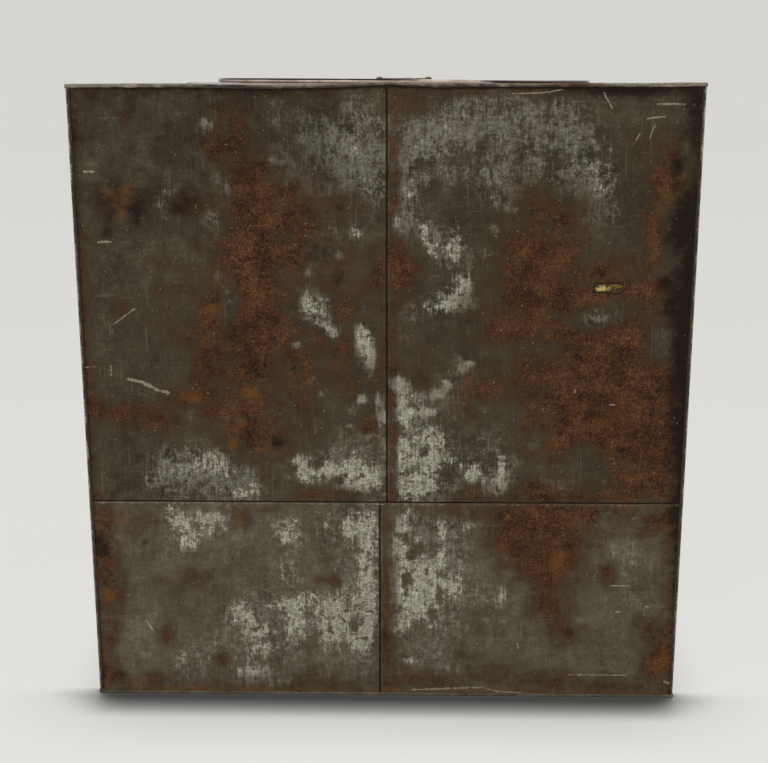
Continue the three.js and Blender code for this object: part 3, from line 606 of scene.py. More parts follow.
def scattered(u, w, seed, count, least, most):
    """Soft spots of chance sizes, places and strengths over a wall, more of them lower down."""
    rng = np.random.default_rng(seed)
    listed = []
    for _ in range(count):
        across, up = rng.uniform(-HALF, HALF), HEIGHT * rng.uniform(0, 1) ** 1.4
        size, tall = least + (most - least) * rng.uniform(0, 1) ** 2, rng.uniform(0.7, 1.8)
        listed.append((across, up, size, size * tall, rng.uniform(0.35, 0.95)))
    return spots(u, w, listed)


def japan_marks(u, w, depth, seed):
    """Wear of a japanned wall: it has gone at the edges and seams and rusts from the foot up."""
    near = seam_distance(u, w)
    broad, mid = ripple(u, w, seed, 140), ripple(u, w, seed + 3, 45)
    lap = smooth(depth, 0.6, 1.2) * (np.abs(u) > HALF - 1)
    wear = 0.6 * fall(near, 0.5, 7) + 0.75 * scattered(u, w, seed + 7, 34, 3, 14)
    rust = 0.5 * fall(w, 5, 70) + 0.85 * scattered(u, w, seed + 8, 26, 8, 42) + 0.3 * fall(near, 2, 22)
    rust = rust + 0.12 * broad + 0.08 * mid
    grime_and_shade = 0.35 * fall(near, 0, 14) + 0.2 * ripple(u, w, seed + 5, 80)
    corner = band(depth, 0.3, 1.0, 0.3) * (np.abs(u) > HALF - 1)
    return {
        "rust": np.clip(rust, 0, 0.9) * (1 - lap) + 0.55 * lap,
        "wear": np.clip(wear, 0, 1) * (1 - lap),
        "grime_and_shade": np.clip(grime_and_shade, 0, 0.8) * (1 - lap) + 0.75 * lap,
        "pale": 0.42 * corner,
    }


# Node materials

# Fractal noise keeps close to a half, so its spread is widened
NOISE_SPREAD = 2.6
# From this strength on a mark is broken up in full
FULL_MARK = 0.35


def colour(text):
    """A colour in hex as the linear values that nodes take."""
    parts = [int(text[i:i + 2], 16) / 255 for i in (1, 3, 5)]
    return (*[c / 12.92 if c <= 0.04045 else ((c + 0.055) / 1.055) ** 2.4 for c in parts], 1.0)


class Graph:
    """A material's nodes, made by small calls that return the socket to go on from."""

    def __init__(self, name):
        self.material = bpy.data.materials.new(name)
        self.material.use_nodes = True
        self.tree = self.material.node_tree
        self.tree.nodes.clear()
        self.output = self.node("OutputMaterial")
        self.place = self.node("TexCoord").outputs["Object"]

    def node(self, kind, inputs=(), **settings):
        """A new node. inputs are values or sockets by the input's name or number."""
        node = self.tree.nodes.new("ShaderNode" + kind)
        for name, value in settings.items():
            setattr(node, name, value)
        for key, value in dict(inputs).items():
            self.put(node.inputs[key], value)
        return node

    def put(self, socket, value):
        if isinstance(value, bpy.types.NodeSocket):
            self.tree.links.new(value, socket)
        elif value is not None:
            socket.default_value = value

    def math(self, operation, a, b=None, c=None):
        return self.node("Math", enumerate((a, b, c)), operation=operation).outputs[0]

    def vector(self, operation, a, b=None, c=None):
        return self.node("VectorMath", enumerate((a, b, c)), operation=operation).outputs

    def times(self, a, b):
        return self.math("MULTIPLY", a, b)

    def sum(self, *values):
        total = values[0]
        for value in values[1:]:
            total = self.math("ADD", total, value)
        return total

    def blend(self, share, a, b):
        """A number between a and b."""
        return self.math("ADD", a, self.times(share, b - a))

    def around(self, value, amount):
        """A noise between 0 and 1 as an offset of up to half the amount either way."""
        return self.math("MULTIPLY_ADD", value, amount, -amount / 2)

    def offsets(self, *pairs):
        """The same for several noises, each with its own amount."""
        return [self.around(value, amount) for value, amount in pairs]

    def varied(self, level, *pairs):
        """A level that several noises move, each by its own amount."""
        return self.sum(*self.offsets(*pairs), level)

    def mark(self, name):
        return self.node("Attribute", attribute_name=name).outputs["Fac"]

    def noise(self, size, detail, rough, stretch=(1, 1, 1), twist=0.0, shift=(0, 0, 0)):
        """Fractal noise whose largest bumps are about size millimetres, drawn out by stretch along each axis."""
        scale = [1 / s for s in stretch]
        mapping = self.node("Mapping", {"Vector": self.place, "Scale": scale, "Location": shift})
        node = self.node("TexNoise", {
            "Vector": mapping.outputs[0],
            "Scale": 1 / (size * MM),
            "Detail": detail,
            "Roughness": rough,
            "Distortion": twist,
        })
        return self.math("MULTIPLY_ADD", node.outputs["Fac"], NOISE_SPREAD, 0.5 - NOISE_SPREAD / 2)

    def step(self, value, start, end):
        inputs = {"Value": value, "From Min": start, "From Max": end}
        return self.node("MapRange", inputs, interpolation_type="SMOOTHSTEP").outputs["Result"]

    def broken(self, mark, start, end, offsets):
        """A mark whose edge the offsets break up. Where there is no mark there is nothing."""
        near = self.step(mark, 0.0, FULL_MARK)
        return self.step(self.math("MULTIPLY_ADD", self.sum(*offsets), near, mark), start, end)

    def strokes(self, lines):
        """The distance from the nearest of some lines on the wall, over the line's width."""
        flat = self.vector("MULTIPLY", self.place, (1 / MM, 0, 1 / MM))[0]
        nearest = None
        for line, width in lines:
            for (au, aw), (bu, bw) in zip(line, line[1:]):
                along = Vector((bu - au, 0, bw - aw))
                start = self.vector("SUBTRACT", flat, (au + READ_SHIFT, 0, aw))[0]
                share = self.vector("DOT_PRODUCT", start, along / along.length_squared)["Value"]
                clipped = self.math("MAXIMUM", self.math("MINIMUM", share, 1.0), 0.0)
                off = self.vector("MULTIPLY_ADD", clipped, -along, start)[0]
                away = self.times(self.vector("LENGTH", off)["Value"], 1 / width)
                nearest = away if nearest is None else self.math("MINIMUM", nearest, away)
        return nearest

    def mix(self, share, a, b, blend="MIX"):
        node = self.node("Mix", data_type="RGBA", blend_type=blend)
        for key, value in (("Factor", share), (6, a), (7, b)):
            self.put(node.inputs[key], value)
        return node.outputs[2]

    def layer(self, base, share, weight, tone):
        """The base with another tone over it, by the share times the weight."""
        return self.mix(self.times(share, weight), base, colour(tone) if isinstance(tone, str) else tone)

    def ramp(self, value, stops):
        node = self.node("ValToRGB", {"Fac": value})
        elements = node.color_ramp.elements
        while len(elements) < len(stops):
            elements.new(1.0)
        for element, (at, text) in zip(elements, stops):
            element.position, element.color = at, colour(text)
        return node.outputs["Color"]

    def bump(self, height, strength, distance):
        inputs = {"Height": height, "Strength": strength, "Distance": distance * MM}
        return self.node("Bump", inputs).outputs["Normal"]

    def surface(self, base, roughness, metallic, normal, coat=None, **fixed):
        inputs = {"Base Color": base, "Roughness": roughness, "Metallic": metallic}
        inputs.update({"Normal": normal, "Coat Weight": coat})
        inputs.update((name.replace("_", " "), value) for name, value in fixed.items())
        shader = self.node("BsdfPrincipled", inputs)
        self.put(self.output.inputs["Surface"], shader.outputs[0])
        return self.material


def tinned_wall():
    """Old bare tinplate: dark patina with a fine grain, flaked patches of bright tin, and rust."""
    g = Graph("aged_tinplate")
    broad = g.noise(60, 4, 0.6)
    mottle = g.noise(14, 7, 0.62)
    flake = g.noise(5, 6, 0.7)
    speck = g.noise(1.7, 3, 0.6)
    upright = g.noise(1.3, 2, 0.5, stretch=(1, 1, 10))
    level = g.noise(1.3, 2, 0.5, stretch=(10, 1, 1), shift=(3, 1, 2))
    streak = g.noise(5, 5, 0.6, stretch=(1, 1, 6), shift=(7, 2, 4))
    grain = g.times(g.sum(upright, level), 0.5)

    # Patina, paler under the level seam
    tone = g.varied(0.5, (broad, 0.35), (mottle, 0.38), (flake, 0.25), (speck, 0.3), (grain, 0.2))
    upper = g.ramp(tone, [(0.0, "#262017"), (0.3, "#363023"), (0.6, "#433d2f"), (1.0, "#5b5546")])
    lower = g.ramp(tone, [(0.0, "#3a3326"), (0.3, "#4c4537"), (0.6, "#5c5545"), (1.0, "#767060")])
    base = g.mix(g.mark("lower"), upper, lower)

    # Half-worn tin, hairlines, bright tin and the dark sores in it
    haze_mark = g.mark("haze")
    cloud = g.noise(30, 8, 0.66, shift=(5, 5, 5))
    torn = g.offsets((cloud, 0.75), (mottle, 0.4), (streak, 0.2), (flake, 0.7), (upright, 0.25), (speck, 0.35))
    haze = g.broken(haze_mark, 0.25, 0.95, torn)
    dim_tin = g.ramp(
        g.varied(0.5, (speck, 0.35), (flake, 0.4), (grain, 0.35)),
        [(0.0, "#39342a"), (0.35, "#575244"), (0.7, "#737063"), (1.0, "#8f8c7f")],
    )
    base = g.layer(base, haze, 0.85, dim_tin)
    hair = g.math(
        "MAXIMUM",
        g.step(g.noise(1.6, 2, 0.5, stretch=(1, 1, 22), twist=0.3, shift=(4, 7, 1)), 0.85, 1.1),
        g.step(g.noise(1.8, 2, 0.5, stretch=(16, 1, 1), twist=0.3, shift=(6, 3, 9)), 0.95, 1.15),
    )
    base = g.layer(base, hair, 0.16, "#8d8878")
    frayed = g.offsets((mottle, 0.32), (flake, 0.5), (streak, 0.35), (speck, 0.25), (upright, 0.2))
    half_bright = g.broken(g.mark("bright"), 0.22, 0.72, frayed)
    base = g.layer(base, half_bright, 0.75, "#7c786a")
    bright = g.broken(g.mark("bright"), 0.48, 0.72, frayed)
    tin = g.ramp(
        g.varied(0.5, (speck, 0.6), (flake, 0.45), (grain, 0.4), (hair, 0.2)),
        [(0.0, "#575245"), (0.3, "#868272"), (0.65, "#aca899"), (1.0, "#cccabd")],
    )
    base = g.layer(base, bright, 0.9, tin)
    sore = g.step(g.noise(8, 3, 0.55, shift=(9, 9, 2)), 0.76, 0.81)
    base = g.layer(base, sore, g.math("MULTIPLY_ADD", half_bright, 0.72, 0.1), "#40372a")

    # A brown stain round the rust, the rust, its orange places, and grime with painted shade under the lip and in the
    # seams
    rust_noise = g.noise(22, 8, 0.66, shift=(1, 5, 2))
    rust_edge = g.offsets((rust_noise, 0.65), (flake, 0.35), (speck, 0.25))
    stain = g.broken(g.mark("rust"), 0.06, 0.52, g.offsets((rust_noise, 0.8), (flake, 0.5), (speck, 0.4)))
    base = g.layer(base, stain, 0.66, "#3d2b1a")
    rust = g.broken(g.mark("rust"), 0.42, 0.85, rust_edge)
    rust_tone = g.sum(
        g.around(g.noise(16, 8, 0.72, shift=(4, 8, 4)), 0.75),
        g.around(g.noise(1.5, 2, 0.5, shift=(9, 1, 4)), 0.7),
        g.around(grain, 0.25),
        0.5,
    )
    iron_oxide = g.ramp(rust_tone, [(0.0, "#190f09"), (0.3, "#352013"), (0.6, "#4a2d19"), (1.0, "#634228")])
    base = g.layer(base, rust, 0.93, iron_oxide)
    ochre = g.broken(g.mark("ochre"), 0.3, 1.0, g.offsets((mottle, 0.5), (speck, 0.3)))
    base = g.layer(base, ochre, 0.5, "#6a441c")
    grime_and_shade = g.broken(g.mark("grime_and_shade"), 0.2, 0.95, g.offsets((rust_noise, 0.4), (flake, 0.3)))
    base = g.layer(base, grime_and_shade, 0.9, "#180f09")

    # Pits, a painted highlight beside the seams, scratches and one chip
    pits = g.step(g.noise(2.4, 1, 0.5, shift=(2, 9, 1)), 1.08, 1.2)
    base = g.layer(base, pits, 0.4, "#87826f")
    dark_pits = g.step(g.noise(4.0, 2, 0.5, shift=(8, 3, 6)), 0.98, 1.15)
    base = g.layer(base, dark_pits, 0.55, "#1c150e")
    seam_highlight = g.broken(g.mark("seam_highlight"), 0.3, 0.8, g.offsets((flake, 0.7)))
    scratch = g.step(g.sum(g.strokes(SCRATCHES), *g.offsets((flake, 0.9), (speck, 0.4))), 0.5, 0.1)
    pale_line = g.math("MAXIMUM", g.times(seam_highlight, 0.45), g.times(scratch, 0.46))
    base = g.mix(pale_line, base, colour("#aea590"))
    chip = g.sum(g.strokes([CHIP]), *g.offsets((flake, 0.5), (mottle, 0.3)))
    base = g.layer(base, g.step(chip, 0.85, 0.6), 0.8, "#1a120b")
    base = g.mix(g.step(chip, 0.5, 0.35), base, g.ramp(flake, [(0.3, "#3a2b17"), (0.5, "#6f5731"), (0.7, "#b09b6c")]))

    roughness = g.sum(0.52, g.times(rust, 0.28), g.times(bright, -0.1), g.around(speck, 0.08))
    metallic = g.times(g.math("SUBTRACT", 1.0, rust), g.blend(bright, 0.2, 0.45))
    scale = g.times(g.step(g.mark("rust"), 0.25, 0.7), g.noise(3, 5, 0.65, shift=(3, 8, 2)))
    height = g.sum(g.times(scale, 0.35), g.times(g.noise(5, 5, 0.65), 0.3))
    return g.surface(base, roughness, metallic, g.bump(height, 0.3, 0.4), Specular_IOR_Level=0.1)


def japanned(name, shades, worn="#6f6857", shine=0.3, coat=0.2):
    """Old japanning: dark lacquer gone matt and crazed, worn through to tin at the edges, rusting where it has gone."""
    g = Graph(name)
    broad = g.noise(60, 5, 0.6)
    mottle = g.noise(12, 6, 0.6)
    speck = g.noise(1.8, 4, 0.65)
    streak = g.noise(4, 4, 0.6, stretch=(1, 1, 9))
    tone = g.varied(0.5, (broad, 0.4), (mottle, 0.35), (speck, 0.25), (streak, 0.35))
    base = g.ramp(tone, list(zip((0.0, 0.45, 0.75, 1.0), shades)))
    crazing = g.step(g.noise(5, 3, 0.5, twist=2.0), 0.47, 0.53)
    base = g.layer(base, crazing, 0.12, shades[0])

    # Faded paler paint; on the seat's slope it also carries a painted sheen
    faded_and_sheen_tone = g.varied(0.5, (mottle, 0.5), (speck, 0.3))
    faded_and_sheen = g.ramp(faded_and_sheen_tone, [(0.0, "#7d6356"), (0.5, "#a08576"), (1.0, "#bda698")])
    base = g.layer(base, g.mark("faded_and_sheen"), 0.8, faded_and_sheen)

    wear = g.broken(g.mark("wear"), 0.48, 0.68, [g.around(g.noise(7, 8, 0.7), 0.7), g.around(speck, 0.25)])
    tin = g.ramp(g.varied(0.5, (speck, 0.5), (mottle, 0.4)), [(0.0, "#3a3226"), (0.5, worn), (1.0, "#9a9484")])
    base = g.mix(wear, base, tin)
    rust_mark = g.mark("rust")
    rust_noise = g.noise(20, 8, 0.68, shift=(1, 5, 2))
    rust = g.broken(rust_mark, 0.45, 0.9, g.offsets((rust_noise, 0.7), (speck, 0.3)))
    oxide = g.ramp(
        g.varied(0.45, (mottle, 0.5), (speck, 0.4)),
        [(0.0, "#1e110a"), (0.35, "#42261a"), (0.7, "#643c20"), (1.0, "#8a5428")],
    )
    base = g.layer(base, rust, 0.9, oxide)
    grime_and_shade = g.step(g.sum(g.mark("grime_and_shade"), g.around(mottle, 0.4)), 0.3, 1.0)
    base = g.layer(base, grime_and_shade, 0.85, "#120c08")

    # Pale places: rubbed or worn paint on rims and laps, and a painted reflection on the lid's bead and the seat's
    # slope
    pale = g.step(g.sum(g.mark("pale"), *g.offsets((mottle, 0.25), (speck, 0.15))), 0.25, 0.75)
    pale_share = g.times(pale, 0.9)
    base = g.mix(pale_share, base, g.ramp(mottle, [(0.2, "#b5a396"), (0.5, "#cbbbae"), (0.8, "#d6cabd")]))

    gone = g.math("MAXIMUM", wear, rust)
    roughness = g.sum(0.38, g.times(gone, 0.34), *g.offsets((mottle, 0.1), (speck, 0.06)))
    metallic = g.times(wear, 0.35)
    height = g.sum(g.times(wear, -0.6), g.times(rust, 0.35), g.times(speck, 0.25), g.times(mottle, 0.35))
    clean = g.times(g.math("SUBTRACT", 1.0, gone), g.math("SUBTRACT", 1.0, grime_and_shade))
    normal = g.bump(height, 0.4, 0.4)
    fixed = {"Specular_IOR_Level": shine, "Coat_Roughness": 0.16}
    return g.surface(base, roughness, metallic, normal, g.times(clean, coat), **fixed)


def dull_tin():
    """The inside, the base and the plug: dull grey tin with brown stains and fine dark spots."""
    g = Graph("dull_tin")
    broad = g.noise(70, 5, 0.6)
    mottle = g.noise(14, 6, 0.62)
    speck = g.noise(1.8, 4, 0.65)
    tone = g.varied(0.5, (broad, 0.45), (mottle, 0.35), (speck, 0.25))
    base = g.ramp(tone, [(0.0, "#3a3226"), (0.4, "#5d5646"), (0.7, "#777162"), (1.0, "#98937f")])
    stain = g.step(g.noise(40, 8, 0.7, shift=(3, 3, 7)), 0.6, 1.0)
    base = g.layer(base, stain, 0.7, "#4b3018")
    spot = g.step(g.noise(4, 3, 0.55, shift=(5, 1, 3)), 0.88, 1.0)
    base = g.layer(base, spot, 0.75, "#26190f")
    roughness = g.sum(0.48, g.times(stain, 0.25), g.around(speck, 0.2))
    metallic = g.math("MULTIPLY_ADD", stain, -0.35, 0.45)
    height = g.sum(g.times(speck, 0.3), g.times(stain, 0.4))
    return g.surface(base, roughness, metallic, g.bump(height, 0.3, 0.4))


def oxidised_iron(name, shades):
    """The wires: dark iron with patches of rust."""
    g = Graph(name)
    mottle = g.noise(6, 6, 0.65)
    speck = g.noise(0.9, 4, 0.65)
    base = g.ramp(g.varied(0.5, (mottle, 0.4), (speck, 0.4)), list(zip((0.0, 0.4, 0.7, 1.0), shades)))
    rust = g.step(g.noise(3.5, 7, 0.7, shift=(2, 2, 8)), 0.55, 0.9)
    rust_share = g.times(rust, 0.8)
    base = g.mix(rust_share, base, g.ramp(speck, [(0.3, "#34190f"), (0.7, "#6e4020")]))
    roughness = g.sum(0.5, g.times(rust, 0.3), g.around(speck, 0.2))
    metallic = g.math("MULTIPLY_ADD", rust, -0.45, 0.55)
    return g.surface(base, roughness, metallic, g.bump(g.sum(speck, g.times(rust, 0.7)), 0.4, 0.25))


TIN_WALL = tinned_wall()
BLACK_JAPAN = japanned("black_japan", ("#0a0705", "#1d130d", "#33241a", "#5a4534"), shine=0.35)
RED_JAPAN = japanned("red_japan", ("#1c0c08", "#43201a", "#5f3226", "#83513f"), worn="#81776a", shine=0.15, coat=0.9)
FADED_RED = japanned("faded_red", ("#5d4238", "#83665a", "#9f8072", "#b89c8e"), worn="#a8998c")
DULL_TIN = dull_tin()
IRON = oxidised_iron("oxidised_iron", ("#120d0a", "#2a1d16", "#41302a", "#6b5a4c"))
WORN_IRON = oxidised_iron("worn_iron", ("#2a201b", "#54463d", "#7a6a5f", "#a09186"))


# Walls

def placed(row, hand, side, middle, rim, level):
    """A sheet's four edges in their order west, east, south, north."""
    across = (side, middle) if hand == "left" else (middle, side)
    return across + ((rim, level) if row == "lower" else (level, rim))


def wall_edges(lapped):
    """The four sheets of a wall, as the edges that each is worked on."""
    if lapped:
        side, reach, plain = HALF, CORNER_LAP, LAYER
        worked = (RIM + GAP, HEIGHT - RIM - GAP)
        stop = LAYER + CORNER_FLANGE + GAP
    else:
        side, reach, plain = HALF - 2 * LAYER, CORNER_FLANGE, None
        worked = (WALL_LOW, WALL_HIGH)
        stop = STOP
    sheets = {}
    for row, seam in (("lower", LOWER_SEAM), ("upper", UPPER_SEAM)):
        if row == "lower":
            upright = (WALL_LOW, SEAM_LEVEL - SEAM_WIDTH - GAP)
            sides = (worked[0], SEAM_LEVEL)
        else:
            upright = (SEAM_LEVEL + JOG + FOLD_CLEAR + GAP, WALL_HIGH)
            sides = (SEAM_LEVEL + GAP, worked[1])
        for hand in ("left", "right"):
            across = (stop - side, seam - GAP) if hand == "left" else (seam, side - stop)
            level = Edge(AT_LEVEL[row], SEAM_LEVEL, [across])
            rim = Edge("cut", WALL_LOW if row == "lower" else WALL_HIGH)
            corner = Edge("bend", -side if hand == "left" else side, [sides], reach, plain)
            middle = Edge(AT_UPRIGHT[hand], seam, [upright])
            sheets[row, hand] = placed(row, hand, corner, middle, rim, level)
    return sheets


# For each wall its turn about the middle, whether its sides lap round the corners, and its hands by name
WALLS = {
    "back": (0, False, {"left": "left", "right": "right"}),
    "right": (90, True, {"left": "back", "right": "front"}),
    "front": (180, False, {"left": "right", "right": "left"}),
    "left": (270, True, {"left": "front", "right": "back"}),
}
# Seeds that each wall's turn is added to, and how far down the walls follow the top's bends
WEAR_SEED = 20
DENT_SEED = 40
BEND_REACH = 45


def make_wall(wall):
    turn, lapped, words = WALLS[wall]
    angle = math.radians(turn)
    spacing = FINE if wall == "back" else COARSE
    outer, slot = (TIN_WALL, "bare_tin") if wall == "back" else (BLACK_JAPAN, "black_japan")
    for (row, hand), edges in wall_edges(lapped).items():
        local, faces = welded(sheet_quads(*edges, spacing))
        u, depth, w = local.T
        marks = back_marks(u, w, depth) if wall == "back" else japan_marks(u, w, depth, WEAR_SEED + turn)
        inward = depth + wall_wave(u, w, DENT_SEED + turn) - WALL_OUT
        x = u * math.cos(angle) - inward * math.sin(angle)
        y = u * math.sin(angle) + inward * math.cos(angle)
        z = w + top_field(x, y) * smooth(w, HEIGHT - BEND_REACH, HEIGHT)
        inside = (depth[faces].min(1) > SHEET / 2) & (np.abs(u)[faces].min(1) < HALF - SHEET / 2)
        name = f"{wall}_{row}_{words[hand]}"
        build(f"{name}_sheet", np.stack([x, y, z], 1), faces, "tin", [outer, DULL_TIN], name, marks, inside)


# Top

def top_marks(x, y, depth):
    """Marks of the top. Its pale lip is broken up and darker towards its lower edge, most of all away from the corners.
    """
    rim_away = np.minimum(HALF - np.abs(x), HALF - np.abs(y))
    seam_away = np.minimum(np.abs(x), np.abs(y))
    near = np.minimum(rim_away, seam_away)
    on_rim = fall(rim_away, 0.3, 1.5)
    middle = fall(seam_away, 150, 215)
    broken = 1 + 0.6 * ripple(x, y, 76, 9)
    lip_darkening = middle * (0.28 + 0.55 * smooth(depth, 0.5, 2)) + (1 - middle) * 0.3 * smooth(depth, 1, 2.4)
    lip_dark = on_rim * broken * lip_darkening
    return {
        "rust": np.clip(0.35 * ripple(x, y, 71, 110) + 0.25 * fall(near, 2, 25), 0, 1),
        "wear": np.clip(0.75 * fall(rim_away, 0.3, 6) + 0.25 * ripple(x, y, 72, 50) + 0.3 * fall(near, 0, 8), 0, 1),
        "grime_and_shade": np.clip(0.3 * ripple(x, y, 73, 90) + 0.2 + 0.25 * smooth(depth, 1.2, RIM) + lip_dark, 0, 1.1),
        "pale": blotches(x, y, 74, 26, 0.24, 0.24) * on_rim * (1 - 0.6 * middle),
    }


def stretch(side, near, far):
    """A worked stretch between a place near the middle and one far out on the given side, in rising order."""
    return [(near, far) if side > 0 else (-far, near)]


def make_top():
    stop = LAYER + SEAM_DEPTH + GAP
    margin = HOLE_RADIUS + HOLE_MARGIN
    for row, side_w in (("lower", -1), ("upper", 1)):
        for hand, side_u in (("left", -1), ("right", 1)):
            near_u = -GAP if hand == "left" else 0.0
            near_w = 0.0 if row == "lower" else GAP
            hole_u, hole_w = NECK_X + side_u * margin, side_w * margin
            level = Edge(AT_LEVEL[row], 0.0, stretch(side_u, hole_u, HALF - stop))
            upright = Edge(AT_UPRIGHT[hand], 0.0, stretch(side_w, hole_w, HALF - stop))
            side = Edge("bend", side_u * HALF, stretch(side_w, near_w, HALF - FOLD), RIM, FOLD)
            rim = Edge("bend", side_w * HALF, stretch(side_u, near_u, HALF - FOLD), RIM, FOLD)
            edges = placed(row, hand, side, upright, rim, level)
            local, faces = welded(sheet_quads(*edges, COARSE, ((NECK_X, 0.0), HOLE_RADIUS)))
            x, depth, y = local.T
            rim_away = np.minimum(HALF - np.abs(x), HALF - np.abs(y))
            ragged = 0.35 * smooth(depth, 1.2, RIM) * (rim_away < 1) * ripple(x, y, 75, 13)
            points = np.stack([x, y, HEIGHT - depth + top_field(x, y) + ragged], 1)
            inside = (depth[faces].min(1) > SHEET / 2) & (rim_away[faces].max(1) > SHEET / 2)
            name = f"top_{'back' if row == 'lower' else 'front'}_{hand}"
            looks, marks = [RED_JAPAN, DULL_TIN], top_marks(x, y, depth)
            build(f"{name}_sheet", points, faces, "tin", looks, name, marks, inside)


# Round pieces about the neck's axis

def level_step(rise, degrees):
    """How far a slope of the sheet to another level reaches, and its moves."""
    turns = 2 * (BEND + SHEET / 2) * math.tan(math.radians(degrees) / 2)
    signed = math.copysign(degrees, rise)
    slope = abs(rise) / math.sin(math.radians(degrees)) - turns
    return abs(rise) / math.tan(math.radians(degrees)) + turns, [bend(signed, BEND), run(slope), bend(-signed, BEND)]


def refined(outline, spacing):
    """Points added to a closed outline so that none of its edges is long."""
    points = []
    for a, b in zip(outline, np.roll(outline, -1, axis=0)):
        count = max(1, math.ceil(np.linalg.norm(b - a) / spacing))
        points.extend(a + (b - a) * k / count for k in range(count))
    return np.array(points)


def turned(outline):
    """A closed outline of radius and height, turned about the neck's axis. Points on the axis become one point."""
    sides = ROUND_SIDES
    angles = math.tau * np.arange(sides) / sides
    points, rings = [], []
    for radius, height in outline:
        if radius < TINY:
            rings.append([len(points)] * sides)
            points.append((NECK_X, 0.0, height))
            continue
        rings.append(list(range(len(points), len(points) + sides)))
        points.extend((NECK_X + radius * math.cos(a), radius * math.sin(a), height) for a in angles)
    faces = []
    for first, second in zip(rings, rings[1:] + rings[:1]):
        for i in range(sides):
            j = (i + 1) % sides
            face = list(dict.fromkeys([first[i], first[j], second[j], second[i]]))
            if len(face) > 2:
                faces.append(face)
    return np.array(points), faces


def make_round(name, rows, body, material, marks_of, spacing=COARSE):
    left, right = rows
    outline = refined(np.concatenate([left, right[::-1]]), spacing)
    outline[np.abs(outline[:, 0]) < TINY, 0] = 0.0
    points, faces = turned(outline)
    x, y, z = points.T
    marks = marks_of(x, y, z, np.hypot(x - NECK_X, y))
    lifted = np.stack([x, y, z + top_field(x, y)], 1)
    build(f"{name}_sheet", lifted, faces, body, [material], name, marks)


def seat_marks(x, y, z, r):
    """On the back side the seat's slope is faded paint with a painted sheen over it, paler still towards its edge and
    beside the lid.
    """
    slope = smooth(r, LID_RADIUS - 6, LID_RADIUS - 3) * (z > HEIGHT) * smooth(-y, 40, 185)
    return {
        "rust": blotches(x, y, 81, 90, 0.3, 0.15) * (1 - 0.6 * slope),
        "wear": blotches(x, y, 82, 45, 0.2) * (z > SEAT_TOP - 4),
        "grime_and_shade": blotches(x, y, 83, 70, 0.3, 0.2) * (1 - slope),
        "faded_and_sheen": blotches(x, y, 84, 40, 0.15, 0.85) * slope,
        "pale": (0.3 * smooth(r, SEAT_RADIUS - 7, SEAT_RADIUS - 2) + 0.16 * hill(r, LID_RADIUS + 1, 4)) * slope,
    }


def lid_marks(x, y, z, r):
    """The lid's edge is black along its crown and rubbed through in places. Under the crown, on the back side, it is
    pale: a painted reflection.
    """
    bead = smooth(r, LID_RADIUS - 5, LID_RADIUS - 2) * smooth(-y, 20, 120)
    foot = LID_TOP - 1.9 - 0.7 * smooth(x, 70, 110)
    crown = smooth(z, foot, foot + 0.6)
    rubbed = np.maximum(hill(x, 50, 42), 0.3 * hill(x, -35, 25)) * (y < 0)
    return {
        "rust": blotches(x, y, 91, 80, 0.3, 0.15) * (1 - bead),
        "wear": blotches(x, y, 92, 40, 0.2) * (1 - bead),
        "grime_and_shade": blotches(x, y, 93, 60, 0.3, 0.2) * (1 - bead) + 1.4 * bead * crown * (1 - rubbed),
        "pale": bead * (1 - crown) + 0.7 * bead * crown * rubbed,
    }


def boss_marks(x, y, z, r):
    rim = smooth(r, BOSS_RADIUS - 5, BOSS_RADIUS - 1)
    return {
        "rust": np.clip(0.3 * ripple(x, y, 95, 40) + 0.3 * rim, 0, 1),
        "wear": np.clip(0.25 * ripple(x, y, 96, 25) + 0.3 * rim, 0, 1),
        "grime_and_shade": blotches(x, y, 97, 30, 0.3, 0.2),
        "pale": 0.25 * rim,
    }


def make_neck_and_lid():
    turn = BEND + SHEET / 2
    collar = PLUG_RADIUS + PLUG_PLAY + SHEET / 2
    width, slope = level_step(-SEAT_RISE, SEAT_SLOPE)
    landing = SEAT_RADIUS - SEAT_EDGE - width - collar - turn
    seat = [run(SEAT_EDGE), *slope, run(landing), bend(90, BEND), run(SEAT_TOP - SHEET / 2 - turn - NECK_FOOT)]
    rows = bent(SEAT_RADIUS, HEIGHT + GAP + SHEET / 2, seat, 180)
    make_round("neck_ring", rows, "tin", RED_JAPAN, seat_marks)

    width, step = level_step(PANEL_DROP, PANEL_STEP)
    panel = [run(BEAD_RING - BEAD_RADIUS - LANDING - width), *step, run(LANDING + BEAD_RADIUS)]
    panel.append(bend(-270, WIRE_RADIUS + GAP))
    rows = bent(0, LID_TOP - PANEL_DROP - SHEET / 2, panel)
    make_round("lid_panel", rows, "lid", RED_JAPAN, lid_marks)

    width, step = level_step(-(BOSS_TOP - SHEET - BOSS_FOOT), BOSS_STEP)
    rows = bent(0, BOSS_TOP - SHEET / 2, [run(BOSS_RADIUS - width), *step])
    make_round("handle_boss", rows, "lid", FADED_RED, boss_marks, BOSS_SPACING)

    hem = GAP / 2
    drop = PLUG_TOP - SHEET / 2 - turn - PLUG_FOOT - hem - SHEET
    plug = [run(PLUG_FLANGE - turn), bend(-90, BEND), run(drop), bend(-180, hem), run(PLUG_HEM)]
    rows = bent(PLUG_RADIUS - SHEET / 2 - PLUG_FLANGE, PLUG_TOP - SHEET / 2, plug)
    make_round("lid_plug_ring", rows, "lid", DULL_TIN, lambda x, y, z, r: {})

    angles = math.tau * np.arange(WIRE_SIDES) / WIRE_SIDES
    across = BEAD_RING + WIRE_RADIUS * np.cos(angles)
    up = (WIRE_TOP + WIRE_FOOT) / 2 + WIRE_RADIUS * np.sin(angles)
    points, faces = turned(np.stack([across, up], 1))
    points[:, 2] += top_field(points[:, 0], points[:, 1])
    build("lid_rim_wire_round", points, faces, "lid", [IRON], "lid_rim_wire")


for each_wall in WALLS:
    make_wall(each_wall)
make_top()
make_neck_and_lid()


